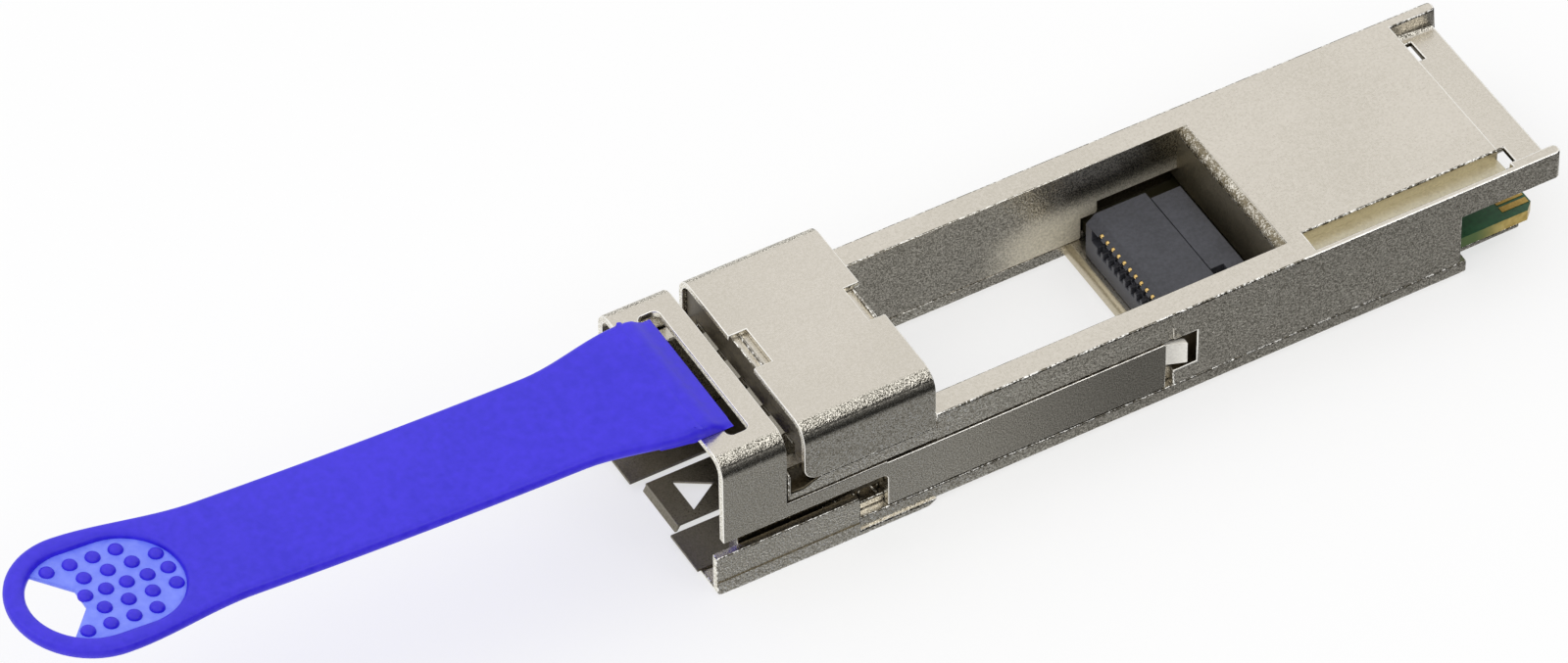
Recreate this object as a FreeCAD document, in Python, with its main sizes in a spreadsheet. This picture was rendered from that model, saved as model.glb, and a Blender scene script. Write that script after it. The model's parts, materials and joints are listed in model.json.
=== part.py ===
"""Port adapter: a wide plug body that takes a narrow module in its nose.

Frame: +X points out of the plug's rear end, Y = 0 is the middle, +Z is up.
X = 0 is the plug's stop plane and Z = 0 the underside of the plug body. Millimetres.
"""
import FreeCAD, Part
import math
import os
import Sketcher
from FreeCAD import Placement, Rotation, Vector

doc = FreeCAD.newDocument("port_adapter")
sheet = doc.addObject("Spreadsheet::Sheet", "sizes")

# Driving dimensions: alias, millimetres, what it is
SIZES = (
    ("body_width", 18.35, "plug body across its sides"),
    ("body_height", 8.5, "plug body from underside to top"),
    ("plug_length", 52.4, "stop plane to the rail tips"),
    ("rail_overhang", 8.5, "rails past the full-height walls"),
    ("rail_height", 2.7, "height of the two rear rails"),
    ("rail_thickness", 0.95, "rails across"),
    ("channel_wall", 2.075, "side walls beside the module channel"),
    ("plate_reach", 23.2, "front edge of the top plate before the rail tips"),
    ("window_edge_radius", 0.8, "rounding of that edge"),
    ("top_thickness", 2.0, "top plate"),
    ("lip_reach", 4.0, "rear edge of the top plate before the rail tips"),
    ("lip_drop", 1.5, "rear lip below the top plate"),
    ("lip_setback", 0.3, "rail tips past the rear lip"),
    ("corner_hole_length", 1.3, "corner holes along the plug"),
    ("corner_hole_width", 1.9, "corner holes across"),
    ("corner_hole_inset", 0.85, "corner holes from the rails"),
    ("groove_setback", 2.3, "groove's front end behind the window"),
    ("groove_width", 1.93, "groove across"),
    ("groove_depth", 1.0, "groove below the top"),
    ("groove_rim", 0.5, "metal left outside the groove"),
    ("board_wall", 0.875, "side walls beside the board"),
    ("recess_depth", 0.73, "side recess for the release arms"),
    ("recess_drop", 1.5, "top of the side recess below the body's top"),
    ("recess_gap", 0.65, "side recess past the arms"),
    ("strip_depth", 0.12, "strip above the release arms, below the body's sides"),
    ("strip_gap", 0.1, "strip above the release arms' upper edges"),
    ("flange_gap", 0.06, "strip below the hood's flanges"),
    ("hollow_drop", 0.65, "hollow round the flanges' front corners, below the flanges"),
    ("hollow_length", 1.4, "rise of that hollow behind the hood's front edge"),
    ("post_length", 0.35, "post before that hollow, along"),
    ("latch_pocket_setback", 0.05, "latch pocket behind the arms"),
    ("latch_pocket_length", 2.6, "latch pocket along"),
    ("latch_pocket_below", 0.9, "latch pocket below the ramp tabs"),
    ("latch_pocket_above", 0.25, "latch pocket above the ramp tabs"),
    ("latch_pocket_depth", 1.05, "latch pocket below the side"),
    ("tray_height", 1.1, "tray strip and rear floor"),
    ("tray_overhang", 0.5, "tray past the full-height walls"),
    ("floor_reach", 0.8, "tray's rear floor before the connector"),
    ("floor_lip_radius", 0.5, "rounded front edge of that floor"),
    ("nose_length", 19.2, "stop plane to the tray's front end"),
    ("nose_corner_radius", 0.4, "rounded lower front edge of the nose"),
    ("nose_drop", 0.5, "nose underside below the plug body"),
    ("nose_step", 0.9, "end of the nose underside before the stop plane"),
    ("nose_step_slope", 0.7, "length of the slope at the end of the nose underside"),
    ("band_top", 3.3, "top of the nose band"),
    ("travel_gap", 0.2, "room left before the band at full travel"),
    ("release_travel", 2.2, "travel of the release slider"),
    ("band_corner_radius", 0.3, "rounded upper rear corner of the band"),
    ("band_proud", 0.22, "nose band outside the plug body's sides"),
    ("band_wall", 0.75, "nose band wall"),
    ("band_line_height", 1.3, "thicker foot of the band"),
    ("band_foot_step", 0.08, "foot of the band outside its upper part"),
    ("flap_bay_length", 7.5, "opening of the nose floor under the flap"),
    ("flap_bay_width", 8.4, "that opening across"),
    ("nose_wall_setback", 2.2, "housing's nose walls behind the tray's front"),
    ("plate_sheet", 0.25, "latch plate thickness"),
    ("plate_side_gap", 0.1, "latch plate to the channel walls"),
    ("plate_lead", 0.35, "latch plate before the tray's front"),
    ("flap_width", 4.8, "latch flap across"),
    ("flap_setback", 0.95, "flap tip behind the plate's front"),
    ("flap_length", 6.0, "latch flap along"),
    ("slit_width", 0.6, "slits beside the flap"),
    ("flap_lip_drop", 0.7, "bent lip at the flap's tip"),
    ("latch_hole_base", 3.2, "base of the three-cornered hole"),
    ("latch_hole_length", 2.5, "three-cornered hole along"),
    ("latch_hole_setback", 1.8, "hole behind the flap's tip"),
    ("hood_length", 10.9, "hood along"),
    ("hood_back", 0.9, "hood's rear edge before the stop plane"),
    ("hood_rise", 4.03, "hood and bridge above the body's top"),
    ("hood_flange_drop", 1.2, "hood's flanges below the body's top"),
    ("hood_sheet", 0.5, "hood sheet"),
    ("fold_radius", 1.6, "outer radius of the folds"),
    ("hood_corner_radius", 1.2, "rounded lower corners of the flanges"),
    ("notch_width", 3.7, "hood notches across"),
    ("front_notch_depth", 1.5, "front notch"),
    ("rear_notch_depth", 1.3, "rear notch"),
    ("tab_gap", 0.12, "hooks inside the sides of the notches"),
    ("tab_setback", 0.5, "hooks before the ends of the notches"),
    ("tab_length", 0.25, "hooks along"),
    ("tab_height", 0.35, "hooks above the nose roof"),
    ("roof_setback", 0.3, "nose roof inside the hood's ends"),
    ("roof_side_gap", 0.08, "nose roof to the hood's flanges"),
    ("ceiling_rise", 0.8, "nose roof's underside above the body's top"),
    ("ground_sheet", 0.2, "ground spring sheet"),
    ("ground_side_gap", 0.2, "ground spring to the channel walls"),
    ("finger_width", 2.0, "spring fingers across"),
    ("finger_pitch", 3.2, "spring fingers apart"),
    ("finger_reach", 1.0, "spring fingers in front of the roof"),
    ("finger_bend", 0.7, "bend of the spring fingers in front of the roof"),
    ("finger_dip", 0.25, "spring fingers below their sheet"),
    ("slider_sheet", 0.6, "release slider sheet"),
    ("slider_gap", 0.1, "slider to the housing"),
    ("bridge_gap", 1.42, "bridge to the hood's front edge"),
    ("bridge_length", 5.3, "bridge along"),
    ("bridge_bar", 1.9, "bridge's front bar"),
    ("slot_width", 1.7, "bridge slot along"),
    ("slot_side", 2.345, "bridge left beside the slot"),
    ("slot_corner_radius", 0.5, "rounded corners of the slot"),
    ("leg_bottom", 4.4, "lower edge of the legs and necks"),
    ("neck_top", 5.75, "upper edge of the necks"),
    ("arm_front", 4.9, "front end of the arms before the stop plane"),
    ("arm_end", 18.45, "stop plane to the rear end of the arms"),
    ("arm_top", 5.65, "upper edge of the arms"),
    ("arm_corner_radius", 0.5, "rounded inner corner between necks and arms"),
    ("ramp_length", 1.55, "ramp tabs along"),
    ("ramp_out", 0.55, "ramp tabs outwards"),
    ("ramp_low", 3.5, "lower edge of the ramp tabs"),
    ("ramp_high", 5.55, "upper edge of the ramp tabs"),
    ("spring_length", 5.0, "return springs at rest"),
    ("spring_diameter", 1.05, "return springs outside"),
    ("spring_wire", 0.2, "spring wire"),
    ("spring_pitch", 1.5, "return spring pitch"),
    ("spring_height", 2.5, "return spring axis above the underside"),
    ("spring_pocket_depth", 1.0, "spring pocket in the nose walls"),
    ("spring_pocket_gap", 0.1, "spring pocket past the lug"),
    ("lug_length", 0.6, "spring lug of the arms along"),
    ("lug_reach", 0.85, "spring lug inwards"),
    ("lug_height", 1.0, "spring lug up"),
    ("strap_width", 9.7, "pull tab's strap across"),
    ("strap_slot_gap", 0.65, "pull tab's root to the ends of the slot"),
    ("strap_thickness", 1.1, "strap thickness"),
    ("strap_seat", 0.02, "strap's underside above the bridge's top, at the root"),
    ("strap_root_under", 0.55, "rubber under the bar"),
    ("strap_root_front", 0.5, "rubber before the bar"),
    ("root_rear_over", 0.2, "root's low rear part above the bridge"),
    ("root_slope_start", 0.9, "slope down to that part, before the bar's rear edge"),
    ("root_slope_end", 0.1, "foot of that slope before the bar's rear edge"),
    ("strap_root_gap", 0.8, "pull tab's root to the rear edge of the slot"),
    ("strap_taper", 8.3, "root's taper in front of the bridge"),
    ("flare_reach", 14.8, "start of the flare behind the tip"),
    ("strap_reach", 70.2, "tip of the pull tab before the stop plane"),
    ("strap_rise", 3.1, "rise of the strap from root to tip"),
    ("strap_bend", 480.0, "radius of the strap's gentle bend"),
    ("grip_radius", 6.05, "rounded end of the pull tab"),
    ("grip_rim", 1.55, "rim round the thin grip"),
    ("grip_length", 11.3, "thin grip along"),
    ("grip_thickness", 0.5, "thin grip"),
    ("grip_hole_length", 3.4, "hole at the tip along"),
    ("grip_hole_rear", 1.9, "straight rear edge of that hole, across"),
    ("dot_diameter", 1.1, "raised dots"),
    ("dot_height", 0.25, "raised dots above the grip"),
    ("dot_row_pitch", 1.6, "dot rows apart"),
    ("dot_middle_first", 3.7, "middle row's first dot behind the rim"),
    ("dot_middle_last", 10.3, "middle row's last dot behind the rim"),
    ("dot_inner_first", 4.4, "next rows' first dot behind the rim"),
    ("dot_inner_last", 10.1, "next rows' last dot behind the rim"),
    ("dot_outer_first", 2.3, "outer rows' first dot behind the rim"),
    ("dot_outer_last", 7.7, "outer rows' last dot behind the rim"),
    ("board_thickness", 1.0, "circuit board"),
    ("board_seat", 1.5, "board's underside above the underside of the body"),
    ("board_setback", 0.9, "board's front edge behind the connector's"),
    ("tongue_setback", 1.4, "board's rear edge before the rail tips"),
    ("board_chamfer", 0.7, "chamfered rear corners"),
    ("board_gap", 0.1, "board to the walls"),
    ("ledge_width", 0.65, "tray ledges under the board"),
    ("ledge_setback", 1.4, "rear ends of the ledges before the board's rear edge"),
    ("pad_edge", 1.0, "middle of the outer pads to the board's sides"),
    ("pad_width", 0.54, "edge pads across"),
    ("pad_length", 2.3, "edge pads along"),
    ("pad_setback", 0.15, "edge pads before the board's edge"),
    ("pad_height", 0.05, "edge pads above the board"),
    ("screw_setback", 3.8, "tray screws behind the window"),
    ("screw_spacing", 10.0, "tray screws apart"),
    ("screw_diameter", 1.6, "tray screws"),
    ("screw_head_diameter", 2.9, "countersunk heads"),
    ("screw_head_height", 0.7, "countersunk heads"),
    ("screw_length", 4.0, "tray screws over all"),
    ("screw_slot_width", 0.4, "screw slots across"),
    ("screw_slot_depth", 0.3, "screw slots"),
    ("boss_diameter", 3.2, "bosses under the top plate"),
    ("screw_gap", 0.15, "board and tray holes round the screws"),
    ("connector_length", 7.7, "connector along"),
    ("connector_jaw_back", 0.8, "upper jaw behind the lower one"),
    ("cover_length", 2.6, "connector's cover along"),
    ("connector_gap", 1.1, "connector before the top plate"),
    ("connector_side", 1.6, "connector's sides to the channel walls"),
    ("skirt_gap", 0.05, "connector's skirt above the tray's floor and before the board"),
    ("connector_height", 2.6, "connector above the board"),
    ("connector_mouth_low", 0.8, "connector's mouth above the board"),
    ("connector_mouth_high", 1.95, "top of the connector's mouth above the board"),
    ("jaw_wall", 0.85, "connector's side jaws"),
    ("connector_mouth_depth", 4.0, "connector's mouth"),
    ("split_gap", 0.06, "parting line"),
    ("cover_inset", 0.7, "connector's cover inside its sides"),
    ("cover_pocket", 1.1, "square pocket in the cover"),
    ("wall_notch_depth", 0.7, "notches into the channel walls beside the connector"),
    ("wall_step_setback", 0.6, "front of those notches behind the connector's"),
    ("wall_step_length", 1.4, "lower front part of the notches, along"),
    ("wall_step_height", 0.65, "that part above the board"),
    ("wall_notch_height", 1.8, "notches above the board"),
    ("bulkhead_length", 1.0, "wall below the top plate's front edge, along"),
    ("bulkhead_gap", 0.7, "that wall above the board"),
    ("contact_edge", 1.05, "middle of the outer contacts to the mouth's sides"),
    ("contact_width", 0.3, "port contacts across"),
    ("contact_height", 0.26, "port contacts up"),
    ("contact_setback", 0.15, "upper contact tips behind the jaws"),
    ("lower_contact_setback", 1.2, "lower contact tips behind the jaws"),
    ("comb_depth", 0.5, "notches of the lower jaw along"),
    ("comb_width", 0.45, "notches of the lower jaw across"),
    ("comb_height", 0.6, "notches of the lower jaw up"),
    ("spring_end_gap", 0.05, "return springs from their seats"),
    ("thread_gap", 0.03, "screws inside the tapped holes"),
    ("tapped_spare", 0.4, "tapped holes past the screws"),
    ("chip_standoff", 0.1, "chip bodies above the board"),
    ("chip_height", 1.0, "chip bodies"),
    ("lead_thickness", 0.25, "chip leads"),
    ("lead_length", 0.8, "chip leads outside the body"),
    ("lead_width", 0.4, "chip leads across"),
    ("lead_pitch", 0.95, "chip leads apart"),
    ("memory_setback", 12.4, "memory chip before the board's rear edge"),
    ("memory_y", -3.4, "memory chip from the middle"),
    ("memory_length", 3.9, "memory chip along"),
    ("memory_width", 3.0, "memory chip across"),
    ("switch_setback", 12.4, "power switch before the board's rear edge"),
    ("switch_y", 3.6, "power switch from the middle"),
    ("switch_length", 2.9, "power switch along"),
    ("switch_width", 1.6, "power switch across"),
    ("inductor_setback", 8.4, "filter inductors before the board's rear edge"),
    ("inductor_spacing", 4.0, "filter inductors apart"),
    ("inductor_length", 2.5, "filter inductors along"),
    ("inductor_width", 2.0, "filter inductors across"),
    ("inductor_height", 1.2, "filter inductors"),
    ("inductor_radius", 0.3, "rounded corners of the inductors"),
    ("small_part_length", 1.0, "capacitors and resistors along"),
    ("small_part_width", 0.5, "capacitors and resistors across"),
    ("small_part_pitch", 1.1, "capacitors and resistors apart"),
    ("capacitor_height", 0.5, "capacitors"),
    ("capacitor_setback", 1.4, "capacitors behind the window"),
    ("resistor_height", 0.35, "resistors"),
    ("resistor_setback", 4.4, "resistors before the board's rear edge"),
)
for row, (alias, millimetres, meaning) in enumerate(SIZES, start=1):
    sheet.set("A%d" % row, alias)
    sheet.set("B%d" % row, str(millimetres))
    sheet.setAlias("B%d" % row, alias)
    sheet.set("C%d" % row, meaning)
doc.recompute()


class Length:
    """A length that keeps its number and the sheet expression it comes from."""

    def __init__(self, number, text):
        self.number = number
        self.text = text

    def __add__(self, other):
        other = length(other)
        return Length(self.number + other.number, "(%s + %s)" % (self.text, other.text))

    def __sub__(self, other):
        other = length(other)
        return Length(self.number - other.number, "(%s - %s)" % (self.text, other.text))

    def __rsub__(self, other):
        return length(other) - self

    def __mul__(self, factor):
        return Length(self.number * factor, "(%s * %s)" % (self.text, factor))

    def __truediv__(self, divisor):
        return Length(self.number / divisor, "(%s / %s)" % (self.text, divisor))

    def __neg__(self):
        return self * -1

    __radd__ = __add__
    __rmul__ = __mul__


def length(value):
    """A plain number becomes a Length whose expression is that number."""
    if isinstance(value, Length):
        return value
    return Length(float(value), repr(float(value)))


class Sizes:
    """The sheet's cells as lengths, by alias."""

    def __getattr__(self, alias):
        return Length(float(sheet.get(alias)), "sizes." + alias)


size = Sizes()
nodes = []
SIDES = (("near", -1), ("far", 1))

# How close a place and a direction must be to count as the same, when edges are picked
NEAR = 0.01
STRAIGHT = 0.99


def new_body(name):
    body = doc.addObject("PartDesign::Body", name)
    body.Label = name
    nodes.append(body)
    return body


def start_sketch(body, name, plane, offset):
    """An empty sketch on one of the body's origin planes, moved along that plane's normal."""
    sketch = body.newObject("Sketcher::SketchObject", name)
    support = [entry for entry in body.Origin.OriginFeatures if entry.Role == plane + "_Plane"]
    sketch.AttachmentSupport = [(support[0], "")]
    sketch.MapMode = "FlatFace"
    sketch.setExpression("AttachmentOffset.Base.z", length(offset).text)
    return sketch


def bind(sketch, kind, geometry, point, value):
    """Hold one coordinate of a sketch point to a sheet expression."""
    value = length(value)
    index = sketch.addConstraint(Sketcher.Constraint(kind, -1, 1, geometry, point, value.number))
    sketch.setExpression("Constraints[%d]" % index, value.text)


def add_polygon(sketch, corners):
    """A closed outline of straight lines, every corner held to the sheet."""
    corners = [(length(u), length(v)) for u, v in corners]
    points = [Vector(u.number, v.number, 0) for u, v in corners]
    count = len(points)
    first = sketch.GeometryCount
    for k in range(count):
        sketch.addGeometry(Part.LineSegment(points[k], points[(k + 1) % count]), False)
    for k in range(count):
        after = first + (k + 1) % count
        sketch.addConstraint(Sketcher.Constraint("Coincident", first + k, 2, after, 1))
    for k, (u, v) in enumerate(corners):
        bind(sketch, "DistanceX", first + k, 1, u)
        bind(sketch, "DistanceY", first + k, 1, v)


def add_circle(sketch, u, v, diameter):
    u = length(u)
    v = length(v)
    circle = Part.Circle(Vector(u.number, v.number, 0), Vector(0, 0, 1), diameter.number / 2)
    index = sketch.addGeometry(circle, False)
    bind(sketch, "DistanceX", index, 3, u)
    bind(sketch, "DistanceY", index, 3, v)
    datum = sketch.addConstraint(Sketcher.Constraint("Diameter", index, diameter.number))
    sketch.setExpression("Constraints[%d]" % datum, diameter.text)


def rectangle(u_low, u_high, v_low, v_high):
    return [(u_low, v_low), (u_high, v_low), (u_high, v_high), (u_low, v_high)]


def along_normal(plane, low, high):
    """Start and end along the sketch normal, which is -Y on the XZ plane."""
    low = length(low)
    high = length(high)
    if plane == "XZ":
        return -high, -low
    return low, high


def add_feature(body, kind, name, plane, low, high, draw):
    """A pad or pocket of a drawn sketch between two positions along the plane's axis."""
    start, end = along_normal(plane, low, high)
    sketch = start_sketch(body, name + "_sketch", plane, start)
    draw(sketch)
    doc.recompute()
    before = body.Shape.Volume if body.Tip else 0.0
    feature = body.newObject("PartDesign::" + kind, name)
    feature.Profile = sketch
    feature.Reversed = kind == "Pocket"
    feature.setExpression("Length", (end - start).text)
    doc.recompute()
    changed = feature.Shape.Volume - before
    if changed == 0 or (changed > 0) != (kind == "Pad"):
        raise RuntimeError("%s of %s changed nothing" % (name, body.Label))
    return feature


def pad(body, name, plane, low, high, *outlines):
    return add_feature(body, "Pad", name, plane, low, high,
                       lambda sketch: [add_polygon(sketch, corners) for corners in outlines])


def pocket(body, name, plane, low, high, *outlines):
    return add_feature(body, "Pocket", name, plane, low, high,
                       lambda sketch: [add_polygon(sketch, corners) for corners in outlines])


def round_edges(body, name, radius, chosen):
    """Round every edge of the body whose middle and direction the test accepts."""
    picked = []
    for number, edge in enumerate(body.Shape.Edges, start=1):
        ends = edge.Vertexes
        if len(ends) != 2:
            continue
        direction = ends[1].Point - ends[0].Point
        direction.normalize()
        middle = (ends[0].Point + ends[1].Point) / 2
        if chosen(middle, direction):
            picked.append("Edge%d" % number)
    base = body.Tip
    fillet = body.newObject("PartDesign::Fillet", name)
    fillet.Base = (base, picked)
    fillet.setExpression("Radius", radius.text)
    doc.recompute()
    return fillet


def discs(body, kind, name, low, high, places, diameter):
    """A pad or pocket of equal upright cylinders."""
    def draw(sketch):
        for x, y in places:
            add_circle(sketch, x, y, diameter)

    return add_feature(body, kind, name, "XY", low, high, draw)


def near(value, target):
    return abs(value - length(target).number) < NEAR


def lengthwise(way):
    return abs(way.x) > STRAIGHT


def across(way):
    return abs(way.y) > STRAIGHT


def upright(way):
    return abs(way.z) > STRAIGHT


def sorted_pair(first, second):
    """Two positions, the lower one first."""
    first = length(first)
    second = length(second)
    if first.number <= second.number:
        return first, second
    return second, first


def centred_row(count, pitch):
    """Places of a row of equal steps about the middle."""
    return [pitch * (number - (count - 1) / 2) for number in range(count)]


def row_between(first, last, count):
    """Places of a row of equal steps from the first to the last."""
    step = (last - first) / (count - 1)
    return [first + step * number for number in range(count)]


# Shared lines of the model
half_width = size.body_width / 2
half_channel = half_width - size.channel_wall
half_nose = half_width - size.recess_depth
half_bay = half_width - size.board_wall
strip_face = half_width - size.strip_depth
half_board = half_bay - size.board_gap
half_connector = half_channel - size.connector_side
nose_front = -size.nose_length
nose_wall_front = nose_front + size.nose_wall_setback
hood_rear = -size.hood_back
hood_front = hood_rear - size.hood_length
hood_top = size.body_height + size.hood_rise
hood_inner_top = hood_top - size.hood_sheet
hood_bottom = size.body_height - size.hood_flange_drop
ceiling = size.body_height + size.ceiling_rise
bridge_rear = hood_front - size.bridge_gap
bridge_front = bridge_rear - size.bridge_length
bridge_under = hood_top - size.slider_sheet
strap_low = hood_top + size.strap_seat
wall_end = size.plug_length - size.rail_overhang
window_end = size.plug_length - size.plate_reach
plate_end = size.plug_length - size.lip_reach
lip_end = size.plug_length - size.lip_setback
rail_bottom = size.body_height - size.rail_height
plate_bottom = size.body_height - size.top_thickness
connector_end = window_end - size.connector_gap
connector_start = connector_end - size.connector_length
connector_split = connector_end - size.cover_length
board_start = connector_start + size.board_setback
board_end = size.plug_length - size.tongue_setback
board_top = size.board_seat + size.board_thickness
floor_start = connector_start - size.floor_reach
slider_inner = half_nose + size.slider_gap
slider_outer = slider_inner + size.slider_sheet
half_slot = slider_outer - size.slot_side
arm_front = -size.arm_front
band_outer = half_width + size.band_proud
band_inner = band_outer - size.band_wall
band_end = arm_front - size.release_travel - size.travel_gap
screw_x = window_end + size.screw_setback
screw_places = [(screw_x, sign * size.screw_spacing / 2) for side, sign in SIDES]

# How far a cut runs past the metal it goes through
PAST = 1.0

# How many of each
MIDDLE_DOTS = 5
SIDE_DOTS = 4
PORT_CONTACTS = 10
EDGE_PADS = 19
SPRING_FINGERS = 4
MEMORY_LEADS = 4
SWITCH_LEADS = 3
INDUCTORS = 2
CAPACITORS = 6
RESISTORS = 8
WIRE_SIDES = 6


def build_housing():
    """Die-cast upper shell: walls, top plate, rails, nose roof and their cut-outs."""
    body = new_body("housing")
    plan = [(nose_wall_front, -half_nose), (hood_rear, -half_nose), (hood_rear, -half_width),
            (size.plug_length, -half_width), (size.plug_length, half_width), (hood_rear, half_width),
            (hood_rear, half_nose), (nose_wall_front, half_nose)]
    pad(body, "shell", "XY", size.tray_height, size.body_height, plan)
    pad(body, "nose_skirt", "XY", 0, size.tray_height,
        rectangle(nose_wall_front, band_end, -half_nose, half_nose))
    roof_half = half_width - size.hood_sheet - size.roof_side_gap
    roof_front = hood_front + size.roof_setback
    roof_rear = hood_rear - size.roof_setback
    pad(body, "nose_roof", "XY", size.body_height, hood_inner_top,
        rectangle(roof_front, roof_rear, -roof_half, roof_half))
    pocket(body, "port_channel", "XY", 0, ceiling,
           rectangle(nose_wall_front - PAST, window_end, -half_channel, half_channel))
    step_start = connector_start + size.wall_step_setback
    notch_half = half_channel + size.wall_notch_depth
    pocket(body, "wall_steps", "XY", size.tray_height, board_top + size.wall_step_height,
           rectangle(step_start, window_end, -notch_half, notch_half))
    pocket(body, "wall_notches", "XY", size.tray_height, board_top + size.wall_notch_height,
           rectangle(step_start + size.wall_step_length, window_end, -notch_half, notch_half))
    pocket(body, "rear_underside", "XY", size.tray_height, rail_bottom,
           rectangle(wall_end, size.plug_length + PAST, -half_width - PAST, half_width + PAST))
    pocket(body, "board_bay", "XY", size.tray_height, plate_bottom,
           rectangle(window_end, size.plug_length + PAST, -half_bay, half_bay))
    pocket(body, "board_slot", "XY", size.tray_height, board_top,
           rectangle(board_start - size.board_gap, window_end, -half_bay, half_bay))
    pad(body, "bulkhead", "XY", board_top + size.bulkhead_gap, plate_bottom,
        rectangle(window_end, window_end + size.bulkhead_length, -half_bay, half_bay))
    rail_inner = half_width - size.rail_thickness
    pocket(body, "rear_lip", "XY", size.body_height - size.lip_drop, size.body_height,
           rectangle(plate_end, size.plug_length + PAST, -rail_inner, rail_inner))
    pocket(body, "lip_end", "XY", rail_bottom, size.body_height,
           rectangle(lip_end, size.plug_length + PAST, -rail_inner, rail_inner))
    hole_outer = rail_inner - size.corner_hole_inset
    hole_inner = hole_outer - size.corner_hole_width
    hole_rear = plate_end + size.corner_hole_length
    pocket(body, "corner_holes", "XY", rail_bottom, size.body_height,
           rectangle(plate_end, hole_rear, -hole_outer, -hole_inner),
           rectangle(plate_end, hole_rear, hole_inner, hole_outer))
    groove_outer = -half_width + size.groove_rim
    pocket(body, "rail_groove", "XY", size.body_height - size.groove_depth, size.body_height,
           rectangle(window_end + size.groove_setback, plate_end,
                     groove_outer, groove_outer + size.groove_width))
    for side, sign in SIDES:
        cut_side_pockets(body, side, sign)
        pad(body, side + "_nose_strip", "XZ", *sorted_pair(sign * half_nose, sign * strip_face),
            nose_strip_outline())
    hook_half = size.notch_width / 2 - size.tab_gap
    front_hook = hood_front + size.front_notch_depth - size.tab_setback
    rear_hook = hood_rear - size.rear_notch_depth + size.tab_setback
    pad(body, "hood_hooks", "XY", hood_inner_top, hood_inner_top + size.tab_height,
        rectangle(front_hook - size.tab_length, front_hook, -hook_half, hook_half),
        rectangle(rear_hook, rear_hook + size.tab_length, -hook_half, hook_half))
    discs(body, "Pad", "screw_bosses", board_top, plate_bottom, screw_places, size.boss_diameter)
    discs(body, "Pocket", "screw_holes", board_top, size.screw_length + size.tapped_spare, screw_places,
          size.screw_diameter + 2 * size.thread_gap)
    round_edges(body, "window_edge", size.window_edge_radius,
                lambda middle, way: across(way) and near(middle.x, window_end)
                and near(middle.z, size.body_height))
    round_edges(body, "roof_edges", size.fold_radius - size.hood_sheet,
                lambda middle, way: lengthwise(way) and near(abs(middle.y), roof_half)
                and near(middle.z, hood_inner_top))


def nose_strip_outline():
    """Side of the nose between neck and flange, hollowed round the flange's front corner."""
    bottom = size.neck_top + size.strip_gap
    top = hood_bottom - size.flange_gap
    floor = hood_bottom - size.hollow_drop
    front = bridge_rear + size.slider_gap
    post = front + size.post_length
    return [(front, bottom), (hood_rear, bottom), (hood_rear, top), (hood_front + size.hollow_length, top),
            (hood_front, floor), (post, floor), (post, size.body_height), (front, size.body_height)]


def cut_side_pockets(body, side, sign):
    """One side's recess for the release arm, pocket round its ramp tab and seat of its spring."""
    recess = sorted_pair(sign * half_nose, sign * (half_width + PAST))
    recess_end = size.arm_end + size.recess_gap
    pocket(body, side + "_recess", "XZ", *recess,
           rectangle(hood_rear - PAST, recess_end, 0, size.arm_top + size.strip_gap))
    strip = sorted_pair(sign * strip_face, sign * (half_width + PAST))
    pocket(body, side + "_strip", "XZ", *strip,
           rectangle(hood_rear - PAST, recess_end, size.arm_top, size.body_height - size.recess_drop))
    latch = sorted_pair(sign * (half_width - size.latch_pocket_depth), sign * (half_width + PAST))
    latch_front = size.arm_end + size.latch_pocket_setback
    pocket(body, side + "_latch_pocket", "XZ", *latch,
           rectangle(latch_front, latch_front + size.latch_pocket_length,
                     size.ramp_low - size.latch_pocket_below, size.ramp_high + size.latch_pocket_above))
    seat = sorted_pair(sign * (half_nose - size.spring_pocket_depth), sign * (half_nose + PAST))
    half_height = size.spring_diameter / 2 + size.spring_pocket_gap
    pocket(body, side + "_spring_pocket", "XZ", *seat,
           rectangle(arm_front - size.spring_length,
                     arm_front + size.lug_length + size.spring_pocket_gap,
                     size.spring_height - half_height, size.spring_height + half_height))


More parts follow.
